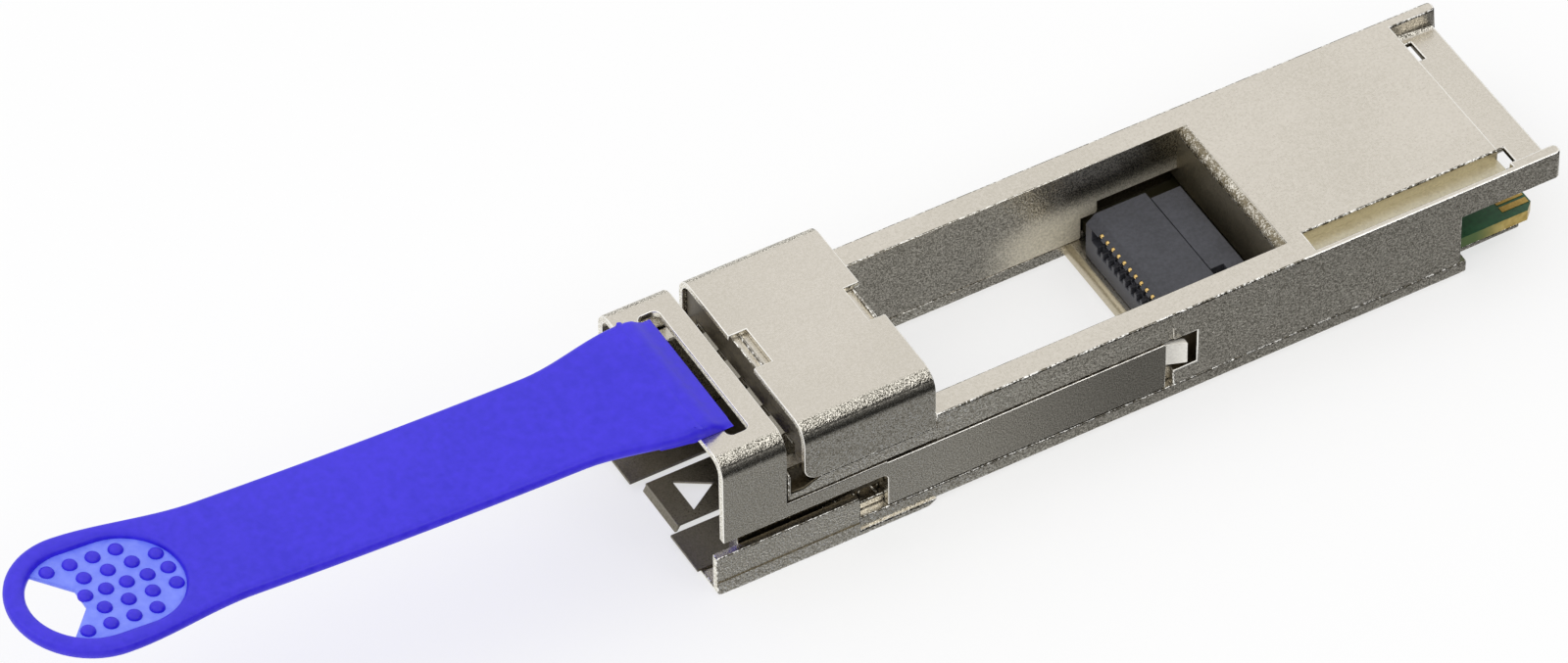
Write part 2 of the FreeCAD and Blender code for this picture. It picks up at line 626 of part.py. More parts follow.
def build_tray():
    """Die-cast lower shell: nose band and floor, side strips, rear floor and board ledges."""
    body = new_body("bottom_tray")
    pad(body, "base", "XY", 0, size.tray_height,
        rectangle(band_end, wall_end + size.tray_overhang, -half_width, half_width))
    pocket(body, "module_opening", "XY", 0, size.tray_height,
           rectangle(band_end - PAST, floor_start, -half_channel, half_channel))
    step_end = -size.nose_step
    step_start = step_end - size.nose_step_slope
    pad(body, "nose_floor", "XZ", -band_outer, band_outer,
        [(nose_front, -size.nose_drop), (step_start, -size.nose_drop), (step_end, 0), (nose_front, 0)])
    for side, sign in SIDES:
        pad(body, side + "_band", "XZ", *sorted_pair(sign * band_inner, sign * band_outer),
            rectangle(nose_front, band_end, -size.nose_drop, size.band_top))
        ledge = sorted_pair(sign * (half_board - size.ledge_width), sign * half_board)
        pad(body, side + "_ledge", "XZ", *ledge,
            rectangle(board_start, board_end - size.ledge_setback, size.tray_height, size.board_seat))
        pocket(body, side + "_foot_step", "XZ",
               *sorted_pair(sign * (band_outer - size.band_foot_step), sign * (band_outer + PAST)),
               rectangle(nose_front - PAST, band_end + PAST,
                         size.band_line_height - size.nose_drop, size.band_top + PAST))
    bay_half = size.flap_bay_width / 2
    pocket(body, "flap_bay", "XY", -size.nose_drop, 0,
           rectangle(nose_front - PAST, nose_front + size.flap_bay_length, -bay_half, bay_half))
    pocket(body, "floor_opening", "XY", -size.nose_drop, 0,
           rectangle(step_start, floor_start, -half_channel, half_channel))
    discs(body, "Pocket", "screw_holes", 0, size.tray_height, screw_places,
          size.screw_diameter + 2 * size.screw_gap)
    discs(body, "Pocket", "screw_sinks", 0, size.screw_head_height, screw_places,
          size.screw_head_diameter + 2 * size.screw_gap)
    round_edges(body, "floor_lip", size.floor_lip_radius,
                lambda middle, way: across(way) and near(middle.x, floor_start)
                and near(middle.z, size.tray_height))
    round_edges(body, "band_corners", size.band_corner_radius,
                lambda middle, way: across(way) and near(middle.x, band_end)
                and near(middle.z, size.band_top))
    round_edges(body, "nose_corners", size.nose_corner_radius,
                lambda middle, way: across(way) and near(middle.x, nose_front)
                and near(middle.z, -size.nose_drop) and abs(middle.y) > bay_half.number)


def build_latch_plate():
    """Stamped floor of the port's mouth, with a spring flap that holds the module."""
    body = new_body("latch_plate")
    half = half_channel - size.plate_side_gap
    front = nose_front - size.plate_lead
    rear = -size.nose_step - size.nose_step_slope
    tip = front + size.flap_setback
    root = tip + size.flap_length
    half_flap = size.flap_width / 2
    slit_outer = half_flap + size.slit_width
    pad(body, "sheet", "XY", 0, size.plate_sheet, rectangle(front, rear, -half, half))
    pocket(body, "flap_cut", "XY", 0, size.plate_sheet,
           [(front - PAST, -slit_outer), (root, -slit_outer), (root, -half_flap), (tip, -half_flap),
            (tip, half_flap), (root, half_flap), (root, slit_outer), (front - PAST, slit_outer)])
    hole_front = tip + size.latch_hole_setback
    pocket(body, "latch_hole", "XY", 0, size.plate_sheet,
           [(hole_front, -size.latch_hole_base / 2), (hole_front + size.latch_hole_length, 0),
            (hole_front, size.latch_hole_base / 2)])
    lip_low = size.plate_sheet - size.flap_lip_drop
    pad(body, "flap_lip", "XZ", -half_flap, half_flap,
        [(tip, 0), (tip + size.plate_sheet, 0), (tip, lip_low), (tip - size.plate_sheet, lip_low)])


def fold_section(bottom, top, half, sheet_thickness):
    """Section of a sheet folded down at both sides, seen along X."""
    inner = half - sheet_thickness
    under = top - sheet_thickness
    return [(-half, bottom), (-half, top), (half, top), (half, bottom), (inner, bottom),
            (inner, under), (-inner, under), (-inner, bottom)]


def round_folds(body, half, top, sheet_thickness):
    """Bend radii on the outside and the inside of both folds."""
    round_edges(body, "outer_folds", size.fold_radius,
                lambda middle, way: lengthwise(way) and near(abs(middle.y), half)
                and near(middle.z, top))
    inner = half - sheet_thickness
    under = top - sheet_thickness
    round_edges(body, "inner_folds", size.fold_radius - sheet_thickness,
                lambda middle, way: lengthwise(way) and near(abs(middle.y), inner)
                and near(middle.z, under))


def build_hood():
    """Stamped cover folded over the nose, notched for the roof's hooks."""
    body = new_body("front_hood")
    pad(body, "sheet", "YZ", hood_front, hood_rear,
        fold_section(hood_bottom, hood_top, half_width, size.hood_sheet))
    round_folds(body, half_width, hood_top, size.hood_sheet)
    half_notch = size.notch_width / 2
    pocket(body, "notches", "XY", hood_inner_top, hood_top + PAST,
           rectangle(hood_front - PAST, hood_front + size.front_notch_depth, -half_notch, half_notch),
           rectangle(hood_rear - size.rear_notch_depth, hood_rear + PAST, -half_notch, half_notch))
    round_edges(body, "flange_corners", size.hood_corner_radius,
                lambda middle, way: across(way) and near(middle.x, hood_front)
                and near(middle.z, hood_bottom))


def build_ground_spring():
    """Stamped plate under the nose roof whose fingers press on the module."""
    body = new_body("ground_spring")
    half = half_channel - size.ground_side_gap
    under = ceiling - size.ground_sheet
    front = hood_front + size.roof_setback
    pad(body, "sheet", "XY", under, ceiling, rectangle(front, hood_rear - size.roof_setback, -half, half))
    dip = under - size.finger_dip
    tip = front - size.finger_reach
    knee = front - size.finger_bend
    finger = [(front, under), (knee, dip), (tip, under), (tip, ceiling),
              (knee, dip + size.ground_sheet), (front, ceiling)]
    half_finger = size.finger_width / 2
    for number, y in enumerate(centred_row(SPRING_FINGERS, size.finger_pitch)):
        pad(body, "finger_%d" % number, "XZ", y - half_finger, y + half_finger, finger)


def build_slider():
    """Stamped release: bridge, legs, necks, side arms, spring lugs and ramp tabs in one sheet."""
    body = new_body("release_slider")
    pad(body, "bridge", "YZ", bridge_front, bridge_rear,
        fold_section(size.leg_bottom, hood_top, slider_outer, size.slider_sheet))
    round_folds(body, slider_outer, hood_top, size.slider_sheet)
    arm_bottom = size.tray_height + size.slider_gap
    lug_low = size.spring_height - size.lug_height / 2
    for side, sign in SIDES:
        inner = sign * slider_inner
        outer = sign * slider_outer
        pad(body, side + "_arm", "XZ", *sorted_pair(inner, outer),
            [(bridge_rear, size.leg_bottom), (arm_front, size.leg_bottom), (arm_front, arm_bottom),
             (size.arm_end, arm_bottom), (size.arm_end, size.arm_top), (arm_front, size.arm_top),
             (arm_front, size.neck_top), (bridge_rear, size.neck_top)])
        ramp_tip = size.arm_end + size.ramp_length
        bent = sign * size.ramp_out
        pad(body, side + "_ramp", "XY", size.ramp_low, size.ramp_high,
            [(size.arm_end, inner), (ramp_tip, inner + bent), (ramp_tip, outer + bent),
             (size.arm_end, outer)])
        pad(body, side + "_lug", "XZ", *sorted_pair(inner - sign * size.lug_reach, inner),
            rectangle(arm_front, arm_front + size.lug_length, lug_low, lug_low + size.lug_height))
    slot_front = bridge_front + size.bridge_bar
    pocket(body, "strap_slot", "XY", bridge_under, hood_top,
           rectangle(slot_front, slot_front + size.slot_width, -half_slot, half_slot))
    round_edges(body, "slot_ends", size.slot_corner_radius,
                lambda middle, way: upright(way) and near(abs(middle.y), half_slot)
                and bridge_front.number < middle.x < bridge_rear.number)
    round_edges(body, "arm_corners", size.arm_corner_radius,
                lambda middle, way: across(way) and near(middle.x, arm_front)
                and near(middle.z, size.leg_bottom))


def add_arc(sketch, start, end, radius):
    """A shallow arc that sags below its chord, with its radius held to the sheet."""
    a = Vector(start[0].number, start[1].number, 0)
    b = Vector(end[0].number, end[1].number, 0)
    chord = b - a
    upward = Vector(-chord.y, chord.x, 0).normalize()
    centre = (a + b) / 2 + upward * math.sqrt(radius.number ** 2 - (chord.Length / 2) ** 2)
    index = sketch.addGeometry(Part.Arc(a, centre - upward * radius.number, b), False)
    datum = sketch.addConstraint(Sketcher.Constraint("Radius", index, radius.number))
    sketch.setExpression("Constraints[%d]" % datum, radius.text)
    return index


def add_line(sketch, start, end):
    """A line whose two ends are held to the sheet."""
    segment = Part.LineSegment(Vector(start[0].number, start[1].number, 0),
                               Vector(end[0].number, end[1].number, 0))
    index = sketch.addGeometry(segment, False)
    for point, place in ((1, start), (2, end)):
        bind(sketch, "DistanceX", index, point, place[0])
        bind(sketch, "DistanceY", index, point, place[1])
    return index


def add_half_round(sketch, from_line, to_line, centre, radius):
    """A half circle from the end of one line to the start of the next, turning left."""
    start = sketch.getPoint(from_line, 2)
    end = sketch.getPoint(to_line, 1)
    middle = Vector(centre[0].number, centre[1].number, 0)
    ahead = Vector(end.y - start.y, start.x - end.x, 0).normalize()
    index = sketch.addGeometry(Part.Arc(start, middle + ahead * radius.number, end), False)
    sketch.addConstraint(Sketcher.Constraint("Coincident", index, 1, from_line, 2))
    sketch.addConstraint(Sketcher.Constraint("Coincident", index, 2, to_line, 1))
    bind(sketch, "DistanceX", index, 3, centre[0])


def add_slot(sketch, u_low, u_high, v_low, v_high):
    """A slot with round ends, longer along u."""
    radius = (v_high - v_low) / 2
    middle = (v_high + v_low) / 2
    left = u_low + radius
    right = u_high - radius
    lower = add_line(sketch, (left, v_low), (right, v_low))
    upper = add_line(sketch, (right, v_high), (left, v_high))
    add_half_round(sketch, lower, upper, (right, middle), radius)
    add_half_round(sketch, upper, lower, (left, middle), radius)


def tool_body(name):
    """A body that only shapes another piece, so it is no node."""
    return doc.addObject("PartDesign::Body", name)


def strap_slab(name, lower_inset, upper_inset):
    """The strap's long side view, a gently bent slab, thinned by an inset on each face."""
    tip = -size.strap_reach - PAST
    low = strap_low + lower_inset
    high = strap_low + size.strap_thickness - upper_inset
    tip_low = low + size.strap_rise
    tip_high = high + size.strap_rise
    body = tool_body(name)

    def draw(sketch):
        root = add_line(sketch, (bridge_front, low), (bridge_front, high))
        end = add_line(sketch, (tip, tip_high), (tip, tip_low))
        upper = add_arc(sketch, (tip, tip_high), (bridge_front, high), size.strap_bend)
        lower = add_arc(sketch, (tip, tip_low), (bridge_front, low), size.strap_bend)
        for arc, start, finish in ((upper, (end, 1), (root, 2)), (lower, (end, 2), (root, 1))):
            sketch.addConstraint(Sketcher.Constraint("Coincident", arc, 1, *start))
            sketch.addConstraint(Sketcher.Constraint("Coincident", arc, 2, *finish))

    add_feature(body, "Pad", name + "_pad", "XZ", -half_width, half_width, draw)
    return body


def strap_tool(name, draw):
    """An upright prism through the whole strap, from a plan drawn on the XY plane."""
    body = tool_body(name)
    top = strap_low + size.strap_thickness + size.strap_rise + PAST
    add_feature(body, "Pad", name + "_pad", "XY", size.leg_bottom, top, draw)
    return body


def combine(kind, name, *shapes):
    """A boolean of whole objects: common, fuse or cut."""
    result = doc.addObject("Part::" + kind, name)
    if kind == "Cut":
        result.Base, result.Tool = shapes
    else:
        result.Shapes = list(shapes)
    doc.recompute()
    return result


def dot_places(rim_front):
    """Five rows of grip dots, the same on both sides of the middle row."""
    places = row_between(rim_front + size.dot_middle_first, rim_front + size.dot_middle_last, MIDDLE_DOTS)
    dots = [(x, length(0)) for x in places]
    for side, sign in SIDES:
        inner = row_between(rim_front + size.dot_inner_first, rim_front + size.dot_inner_last, SIDE_DOTS)
        outer = row_between(rim_front + size.dot_outer_first, rim_front + size.dot_outer_last, SIDE_DOTS)
        dots += [(x, sign * size.dot_row_pitch) for x in inner]
        dots += [(x, sign * 2 * size.dot_row_pitch) for x in outer]
    return dots


def build_pull_tab():
    """Moulded strap with a thin, dotted and holed grip inside a rounded rim."""
    bar_rear = bridge_front + size.bridge_bar
    root_rear = bar_rear + size.slot_width - size.strap_root_gap
    root_front = bridge_front - size.strap_root_front
    root_top = strap_low + size.strap_thickness
    root_bottom = bridge_under - size.strap_root_under
    rear_top = hood_top + size.root_rear_over
    half_root = half_slot - size.strap_slot_gap
    half_strap = size.strap_width / 2
    tip = -size.strap_reach
    grip_centre = tip + size.grip_radius
    taper = bridge_front - size.strap_taper
    flare = tip + size.flare_reach
    rim_front = tip + size.grip_rim
    rim_half = size.grip_radius - size.grip_rim
    hole_rear = rim_front + size.grip_hole_length
    hole_half = size.grip_hole_rear / 2
    hole_flare = hole_half + size.grip_hole_length + size.grip_rim

    root = tool_body("strap_root")
    pad(root, "strap_root_pad", "XZ", -half_root, half_root,
        [(root_front, root_bottom), (root_rear, root_bottom), (root_rear, rear_top),
         (bar_rear - size.root_slope_end, rear_top), (bar_rear - size.root_slope_start, root_top),
         (root_front, root_top)])
    pocket(root, "bar_hole", "XZ", -half_root - PAST, half_root + PAST,
           rectangle(bridge_front, bar_rear, bridge_under, hood_top))

    def draw_plan(sketch):
        edge = [(grip_centre, -size.grip_radius), (flare, -half_strap), (taper, -half_strap),
                (root_front, -half_root), (root_front, half_root), (taper, half_strap),
                (flare, half_strap), (grip_centre, size.grip_radius)]
        lines = [add_line(sketch, a, b) for a, b in zip(edge, edge[1:])]
        add_half_round(sketch, lines[-1], lines[0], (grip_centre, length(0)), size.grip_radius)

    def draw_oval(sketch):
        add_slot(sketch, rim_front, rim_front + size.grip_length, -rim_half, rim_half)

    def draw_hole(sketch):
        add_polygon(sketch, [(tip, -hole_flare), (hole_rear, -hole_half), (hole_rear, hole_half),
                             (tip, hole_flare)])

    def draw_dots(sketch):
        for x, y in dot_places(rim_front):
            add_circle(sketch, x, y, size.dot_diameter)

    plan = strap_tool("strap_plan", draw_plan)
    oval = strap_tool("grip_oval", draw_oval)
    hole = strap_tool("grip_hole", draw_hole)
    dots = strap_tool("grip_dots", draw_dots)
    grip_inset = (size.strap_thickness - size.grip_thickness) / 2
    flat = combine("MultiCommon", "strap_flat", strap_slab("strap_side", length(0), length(0)), plan)
    rim = combine("Cut", "strap_rim", flat, oval)
    film = combine("MultiCommon", "grip_film", strap_slab("film_side", grip_inset, grip_inset), oval)
    raised = combine("MultiCommon", "grip_raised",
                     strap_slab("dot_side", grip_inset, grip_inset - size.dot_height), dots)
    grip = combine("Cut", "holed_film", film, hole)
    tab = combine("MultiFuse", "pull_tab", rim, root, grip, raised)
    tab.Refine = True
    tab.Label = "pull_tab"
    nodes.append(tab)


def build_board():
    """Circuit board, its rear end cut as the plug's tongue, drilled for the screws."""
    body = new_body("circuit_board")
    cut = size.board_chamfer
    pad(body, "laminate", "XY", size.board_seat, board_top,
        [(board_start, -half_board), (board_end - cut, -half_board), (board_end, -half_board + cut),
         (board_end, half_board - cut), (board_end - cut, half_board), (board_start, half_board)])
    discs(body, "Pocket", "screw_holes", size.board_seat, board_top, screw_places,
          size.screw_diameter + 2 * size.screw_gap)


def row_of_blocks(name, low, high, x_low, x_high, width, places):
    """One node of equal flat blocks in a row across the part."""
    body = new_body(name)
    pad(body, name + "_pad", "XY", low, high,
        *[rectangle(x_low, x_high, y - width / 2, y + width / 2) for y in places])
    return body


def build_edge_pads():
    """Gold pads on both faces of the tongue."""
    rear = board_end - size.pad_setback
    front = rear - size.pad_length
    outermost = half_board - size.pad_edge
    places = row_between(-outermost, outermost, EDGE_PADS)
    row_of_blocks("top_edge_pads", board_top, board_top + size.pad_height, front, rear,
                  size.pad_width, places)
    row_of_blocks("bottom_edge_pads", size.board_seat - size.pad_height, size.board_seat, front, rear,
                  size.pad_width, places)


def build_connector():
    """Black insulator of the port: jaws round a wide mouth, with a groove for each contact."""
    top = board_top + size.connector_height
    mouth_low = board_top + size.connector_mouth_low
    mouth_high = board_top + size.connector_mouth_high
    half_mouth = half_connector - size.jaw_wall
    body = new_body("port_connector")
    pad(body, "block", "XZ", -half_connector, half_connector,
        [(connector_start, board_top), (connector_split, board_top), (connector_split, top),
         (connector_start + size.connector_jaw_back, top), (connector_start, mouth_high)])
    skirt_bottom = size.tray_height + size.skirt_gap
    pad(body, "skirt", "XY", skirt_bottom, board_top,
        rectangle(connector_start, board_start - size.skirt_gap, -half_connector, half_connector))
    pocket(body, "mouth", "XY", mouth_low, mouth_high,
           rectangle(connector_start - PAST, connector_start + size.connector_mouth_depth,
                     -half_mouth, half_mouth))
    outermost = half_mouth - size.contact_edge
    places = row_between(-outermost, outermost, PORT_CONTACTS)
    half_contact = size.contact_width / 2
    grooves = [rectangle(connector_start - PAST, connector_split, y - half_contact, y + half_contact)
               for y in places]
    pocket(body, "upper_grooves", "XY", mouth_high, mouth_high + size.contact_height, *grooves)
    pocket(body, "lower_grooves", "XY", mouth_low - size.contact_height, mouth_low, *grooves)
    half_notch = size.comb_width / 2
    notches = [rectangle(connector_start - PAST, connector_start + size.comb_depth,
                         y - half_notch, y + half_notch) for y in places]
    pocket(body, "comb", "XY", mouth_low - size.comb_height, mouth_low, *notches)
    row_of_blocks("upper_contacts", mouth_high, mouth_high + size.contact_height,
                  connector_start + size.contact_setback, connector_split, size.contact_width, places)
    row_of_blocks("lower_contacts", mouth_low - size.contact_height, mouth_low,
                  connector_start + size.lower_contact_setback, connector_split, size.contact_width, places)
    cover = new_body("connector_cover")
    half_cover = half_connector - size.cover_inset
    cover_front = connector_split + size.split_gap
    pad(cover, "block", "XY", board_top, top,
        rectangle(cover_front, connector_end, -half_cover, half_cover))
    pocket(cover, "square_pocket", "XY", top - size.cover_pocket, top,
           rectangle(cover_front, cover_front + size.cover_pocket,
                     -half_cover, -half_cover + size.cover_pocket))


def build_chip(name, setback, y, along, across_board, lead_count):
    """Moulded chip with leads along its two long sides."""
    body = new_body(name)
    x = board_end - setback
    low = board_top + size.chip_standoff
    pad(body, "moulding", "XY", low, low + size.chip_height,
        rectangle(x - along / 2, x + along / 2, y - across_board / 2, y + across_board / 2))
    reach = across_board / 2 + size.lead_length
    half_lead = size.lead_width / 2
    leads = [rectangle(x + step - half_lead, x + step + half_lead, y - reach, y + reach)
             for step in centred_row(lead_count, size.lead_pitch)]
    pad(body, "leads", "XY", board_top, board_top + size.lead_thickness, *leads)


def build_small_parts():
    """Filter inductors, capacitors and resistors on the board."""
    body = new_body("filter_inductors")
    core_x = board_end - size.inductor_setback
    half_length = size.inductor_length / 2
    half_core = size.inductor_width / 2
    pad(body, "cores", "XY", board_top, board_top + size.inductor_height,
        *[rectangle(core_x - half_length, core_x + half_length, y - half_core, y + half_core)
          for y in centred_row(INDUCTORS, size.inductor_spacing)])
    round_edges(body, "core_corners", size.inductor_radius, lambda middle, way: upright(way))
    half_part = size.small_part_length / 2
    for name, x, height, count in (
            ("capacitors", window_end + size.capacitor_setback, size.capacitor_height, CAPACITORS),
            ("resistors", board_end - size.resistor_setback, size.resistor_height, RESISTORS)):
        row_of_blocks(name, board_top, board_top + height, x - half_part, x + half_part,
                      size.small_part_width, centred_row(count, size.small_part_pitch))


def build_springs():
    """Coil springs along X that push the arms' lugs back to rest."""
    coil = (size.spring_diameter - size.spring_wire) / 2
    first = arm_front - size.spring_length + size.spring_end_gap + size.spring_wire / 2
    axis_y = half_nose - size.spring_pocket_depth + size.spring_diameter / 2 + size.spring_end_gap
    for side, sign in SIDES:
        name = side + "_return_spring"
        helix = doc.addObject("Part::Helix", side + "_spring_line")
        helix.Placement = Placement(Vector(0, 0, 0), Rotation(Vector(0, 1, 0), 90))
        helix.setExpression("Pitch", size.spring_pitch.text)
        helix.setExpression("Height", (size.spring_length - size.spring_wire - 2 * size.spring_end_gap).text)
        helix.setExpression("Radius", coil.text)
        wire = doc.addObject("Part::RegularPolygon", side + "_spring_wire")
        wire.Polygon = WIRE_SIDES
        wire.Placement = Placement(Vector(0, 0, 0), Rotation(Vector(1, 0, 0), -90))
        wire.setExpression("Circumradius", (size.spring_wire / 2).text)
        for part, z in ((helix, size.spring_height), (wire, size.spring_height - coil)):
            part.setExpression("Placement.Base.x", first.text)
            part.setExpression("Placement.Base.y", (sign * axis_y).text)
            part.setExpression("Placement.Base.z", z.text)
        spring = doc.addObject("Part::Sweep", name)
        spring.Sections = [wire]
        spring.Spine = (helix, ["Edge1"])
        spring.Solid = True
        spring.Frenet = True
        spring.Label = name
        doc.recompute()
        nodes.append(spring)


def build_screws():
    """Slotted flat-head screws that hold tray, board and housing together."""
    body = new_body("tray_screws")
    discs(body, "Pad", "shanks", 0, size.screw_length, screw_places, size.screw_diameter)
    discs(body, "Pad", "heads", 0, size.screw_head_height, screw_places, size.screw_head_diameter)
    reach = size.screw_head_diameter / 2 + PAST
    half_slot_width = size.screw_slot_width / 2
    pocket(body, "slots", "XY", 0, size.screw_slot_depth,
           *[rectangle(x - half_slot_width, x + half_slot_width, y - reach, y + reach)
             for x, y in screw_places])


def write_parts():
    """Check every object and every node's shape, then write one file for each node."""
    for entry in doc.Objects:
        if "Invalid" in entry.State or "Error" in entry.State:
            raise RuntimeError("%s did not compute: %s" % (entry.Label, entry.State))
    for node in nodes:
        if node.Shape.isNull() or not node.Shape.isValid() or not node.Shape.Solids:
            raise RuntimeError("%s has no sound shape" % node.Label)
    os.makedirs("parts", exist_ok=True)
    for node in nodes:
        node.Shape.exportStep("parts/%s.step" % node.Label)
        print(node.Label, "solids", len(node.Shape.Solids), "volume", round(node.Shape.Volume, 2))


build_housing()
build_tray()
build_latch_plate()
build_hood()
build_ground_spring()
build_slider()
build_pull_tab()
build_board()
build_edge_pads()
build_connector()
build_chip("memory_chip", size.memory_setback, size.memory_y, size.memory_length, size.memory_width,
           MEMORY_LEADS)
build_chip("power_switch", size.switch_setback, size.switch_y, size.switch_length, size.switch_width,
           SWITCH_LEADS)
build_small_parts()
build_springs()
build_screws()
write_parts()
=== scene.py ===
# %% [markdown]
# # A port adapter with a pull tab
# The adapter is a die-cast, nickel-plated plug body with a stamped hood over its nose, a stamped release
# slider and a blue moulded pull tab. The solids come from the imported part, so this lesson only dresses them:
# it rounds their edges, remodels the moulded strap and gives every piece its finish.

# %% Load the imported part
import json
import math

import bmesh
import bpy
from mathutils import Matrix, Vector

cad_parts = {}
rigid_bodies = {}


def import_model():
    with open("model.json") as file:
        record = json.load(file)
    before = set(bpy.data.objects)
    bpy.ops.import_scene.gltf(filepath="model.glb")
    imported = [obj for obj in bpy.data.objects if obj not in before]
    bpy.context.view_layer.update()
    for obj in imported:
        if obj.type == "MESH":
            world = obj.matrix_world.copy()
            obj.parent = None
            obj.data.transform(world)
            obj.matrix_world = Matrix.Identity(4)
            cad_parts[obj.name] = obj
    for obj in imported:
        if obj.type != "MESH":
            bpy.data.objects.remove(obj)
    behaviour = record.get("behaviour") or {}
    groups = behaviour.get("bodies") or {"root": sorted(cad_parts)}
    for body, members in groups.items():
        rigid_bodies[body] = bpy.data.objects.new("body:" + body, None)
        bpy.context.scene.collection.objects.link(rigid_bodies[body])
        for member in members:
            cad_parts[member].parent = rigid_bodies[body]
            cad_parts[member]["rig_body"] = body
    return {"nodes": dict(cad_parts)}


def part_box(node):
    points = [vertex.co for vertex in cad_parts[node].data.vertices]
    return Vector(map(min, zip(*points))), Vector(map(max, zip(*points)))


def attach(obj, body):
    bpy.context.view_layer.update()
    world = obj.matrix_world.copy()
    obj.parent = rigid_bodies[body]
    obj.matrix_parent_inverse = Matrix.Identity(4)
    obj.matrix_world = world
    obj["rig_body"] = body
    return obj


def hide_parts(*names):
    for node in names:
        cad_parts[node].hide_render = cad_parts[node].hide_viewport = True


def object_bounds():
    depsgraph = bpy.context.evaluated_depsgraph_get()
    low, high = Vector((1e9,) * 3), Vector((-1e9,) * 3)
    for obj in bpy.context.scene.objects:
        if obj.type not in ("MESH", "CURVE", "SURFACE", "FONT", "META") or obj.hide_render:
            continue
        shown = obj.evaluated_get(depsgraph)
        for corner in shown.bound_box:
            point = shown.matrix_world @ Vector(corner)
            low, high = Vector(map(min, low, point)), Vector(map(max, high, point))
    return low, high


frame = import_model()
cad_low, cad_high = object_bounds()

MM = 0.001
nodes = frame["nodes"]
print("loaded", len(nodes), "CAD nodes, box in mm", [round(side / MM, 2) for side in cad_high - cad_low])

# %% [markdown]
# ## The camera
# A small product is photographed from far away with a long lens, so that it shows hardly any perspective.
# The camera could be placed by eye. Here it is turned round a point inside the plug by an azimuth, an
# elevation and a small roll, because those are the angles that the corners of the plug body gave.

# %% Place the camera
LOOK_AT = Vector((15, 0, 5)) * MM
AZIMUTH = math.radians(-29.0757)
ELEVATION = math.radians(45.9245)
ROLL = math.radians(-0.8979)
SLIDE_RIGHT = -20.2444 * MM
SLIDE_UP = -2.9866 * MM
CAMERA_DISTANCE = 788.368 * MM
LENS = 247.5
SENSOR = 36.0
NEAREST = 0.05
FARTHEST = 20

back = Vector((math.sin(AZIMUTH) * math.cos(ELEVATION), -math.cos(AZIMUTH) * math.cos(ELEVATION),
               math.sin(ELEVATION)))
level_right = Vector((math.cos(AZIMUTH), math.sin(AZIMUTH), 0))
level_up = back.cross(level_right)
right = level_right * math.cos(ROLL) + level_up * math.sin(ROLL)
up = level_up * math.cos(ROLL) - level_right * math.sin(ROLL)
camera_data = bpy.data.cameras.new("photo_camera")
camera_data.lens = LENS
camera_data.sensor_width = SENSOR
camera_data.clip_start = NEAREST
camera_data.clip_end = FARTHEST
camera = bpy.data.objects.new("photo_camera", camera_data)
bpy.context.scene.collection.objects.link(camera)
turn = Matrix((right, up, back)).transposed().to_4x4()
place = LOOK_AT + right * SLIDE_RIGHT + up * SLIDE_UP + back * CAMERA_DISTANCE
camera.matrix_world = Matrix.Translation(place) @ turn
bpy.context.scene.camera = camera
print("camera at", [round(value, 4) for value in camera.location])

# %% [markdown]
# ## The floor
# A small product is shown on plain white paper that reaches past the picture. A curved backdrop could be
# modelled, but from this height only its flat part is seen, so one large plane is enough. It glows a little
# to stay white, and it is hidden from reflections, because the metal is to mirror the studio instead.

# %% Make the floor
FLOOR_SIZE = 6.0
FLOOR_TONE = 0.36
FLOOR_GLOW = 0.63


def material_start(name):
    """A new material with its Principled shader, ready for links."""
    material = bpy.data.materials.new(name)
    material.use_nodes = True
    tree = material.node_tree
    return material, tree, tree.nodes["Principled BSDF"]


def deselect():
    bpy.ops.object.select_all(action="DESELECT")


deselect()
bpy.ops.mesh.primitive_plane_add(size=FLOOR_SIZE, location=(0, 0, cad_low.z))
floor = bpy.context.object
floor.name = "studio_floor"
floor.visible_glossy = False
floor_material, tree, shader = material_start("pale_floor")
shader.inputs["Base Color"].default_value = (FLOOR_TONE, FLOOR_TONE, FLOOR_TONE, 1)
shader.inputs["Emission Color"].default_value = (1, 1, 1, 1)
shader.inputs["Emission Strength"].default_value = FLOOR_GLOW
shader.inputs["Roughness"].default_value = 0.9
shader.inputs["Specular IOR Level"].default_value = 0.0
floor.data.materials.append(floor_material)
print("floor at", round(cad_low.z / MM, 2), "mm")

# %% [markdown]
# ## The light
# Nickel shows what stands round it, so the light is set up for reflections first. The tops mirror a bright
# space above and behind, and the sides that face us mirror a darker room in front. Panels could be built for
# that, but a world whose strength changes with the direction gives the same soft reflections without a mesh.
# Two softboxes then add the soft shadow and the glint of the edges.

# %% Helpers for node trees
def tree_math(tree, operation, first, second):
    """A Math node in a node tree; each operand is a socket or a number."""
    node = tree.nodes.new("ShaderNodeMath")
    node.operation = operation
    for socket, value in zip(node.inputs, (first, second)):
        if isinstance(value, (int, float)):
            socket.default_value = value
        else:
            tree.links.new(value, socket)
    return node.outputs[0]


def tree_range(tree, value, limits, results=(0.0, 1.0)):
    """A smooth Map Range node, from one result to the other between the limits."""
    node = tree.nodes.new("ShaderNodeMapRange")
    node.interpolation_type = "SMOOTHSTEP"
    tree.links.new(value, node.inputs["Value"])
    for label, number in zip(("From Min", "From Max", "To Min", "To Max"), (*limits, *results)):
        node.inputs[label].default_value = number
    return node.outputs["Result"]


def split_coordinates(tree, kind):
    """The X, Y and Z sockets of one kind of texture coordinates."""
    coordinates = tree.nodes.new("ShaderNodeTexCoord")
    parts = tree.nodes.new("ShaderNodeSeparateXYZ")
    tree.links.new(coordinates.outputs[kind], parts.inputs["Vector"])
    return parts.outputs


print("helpers ready")

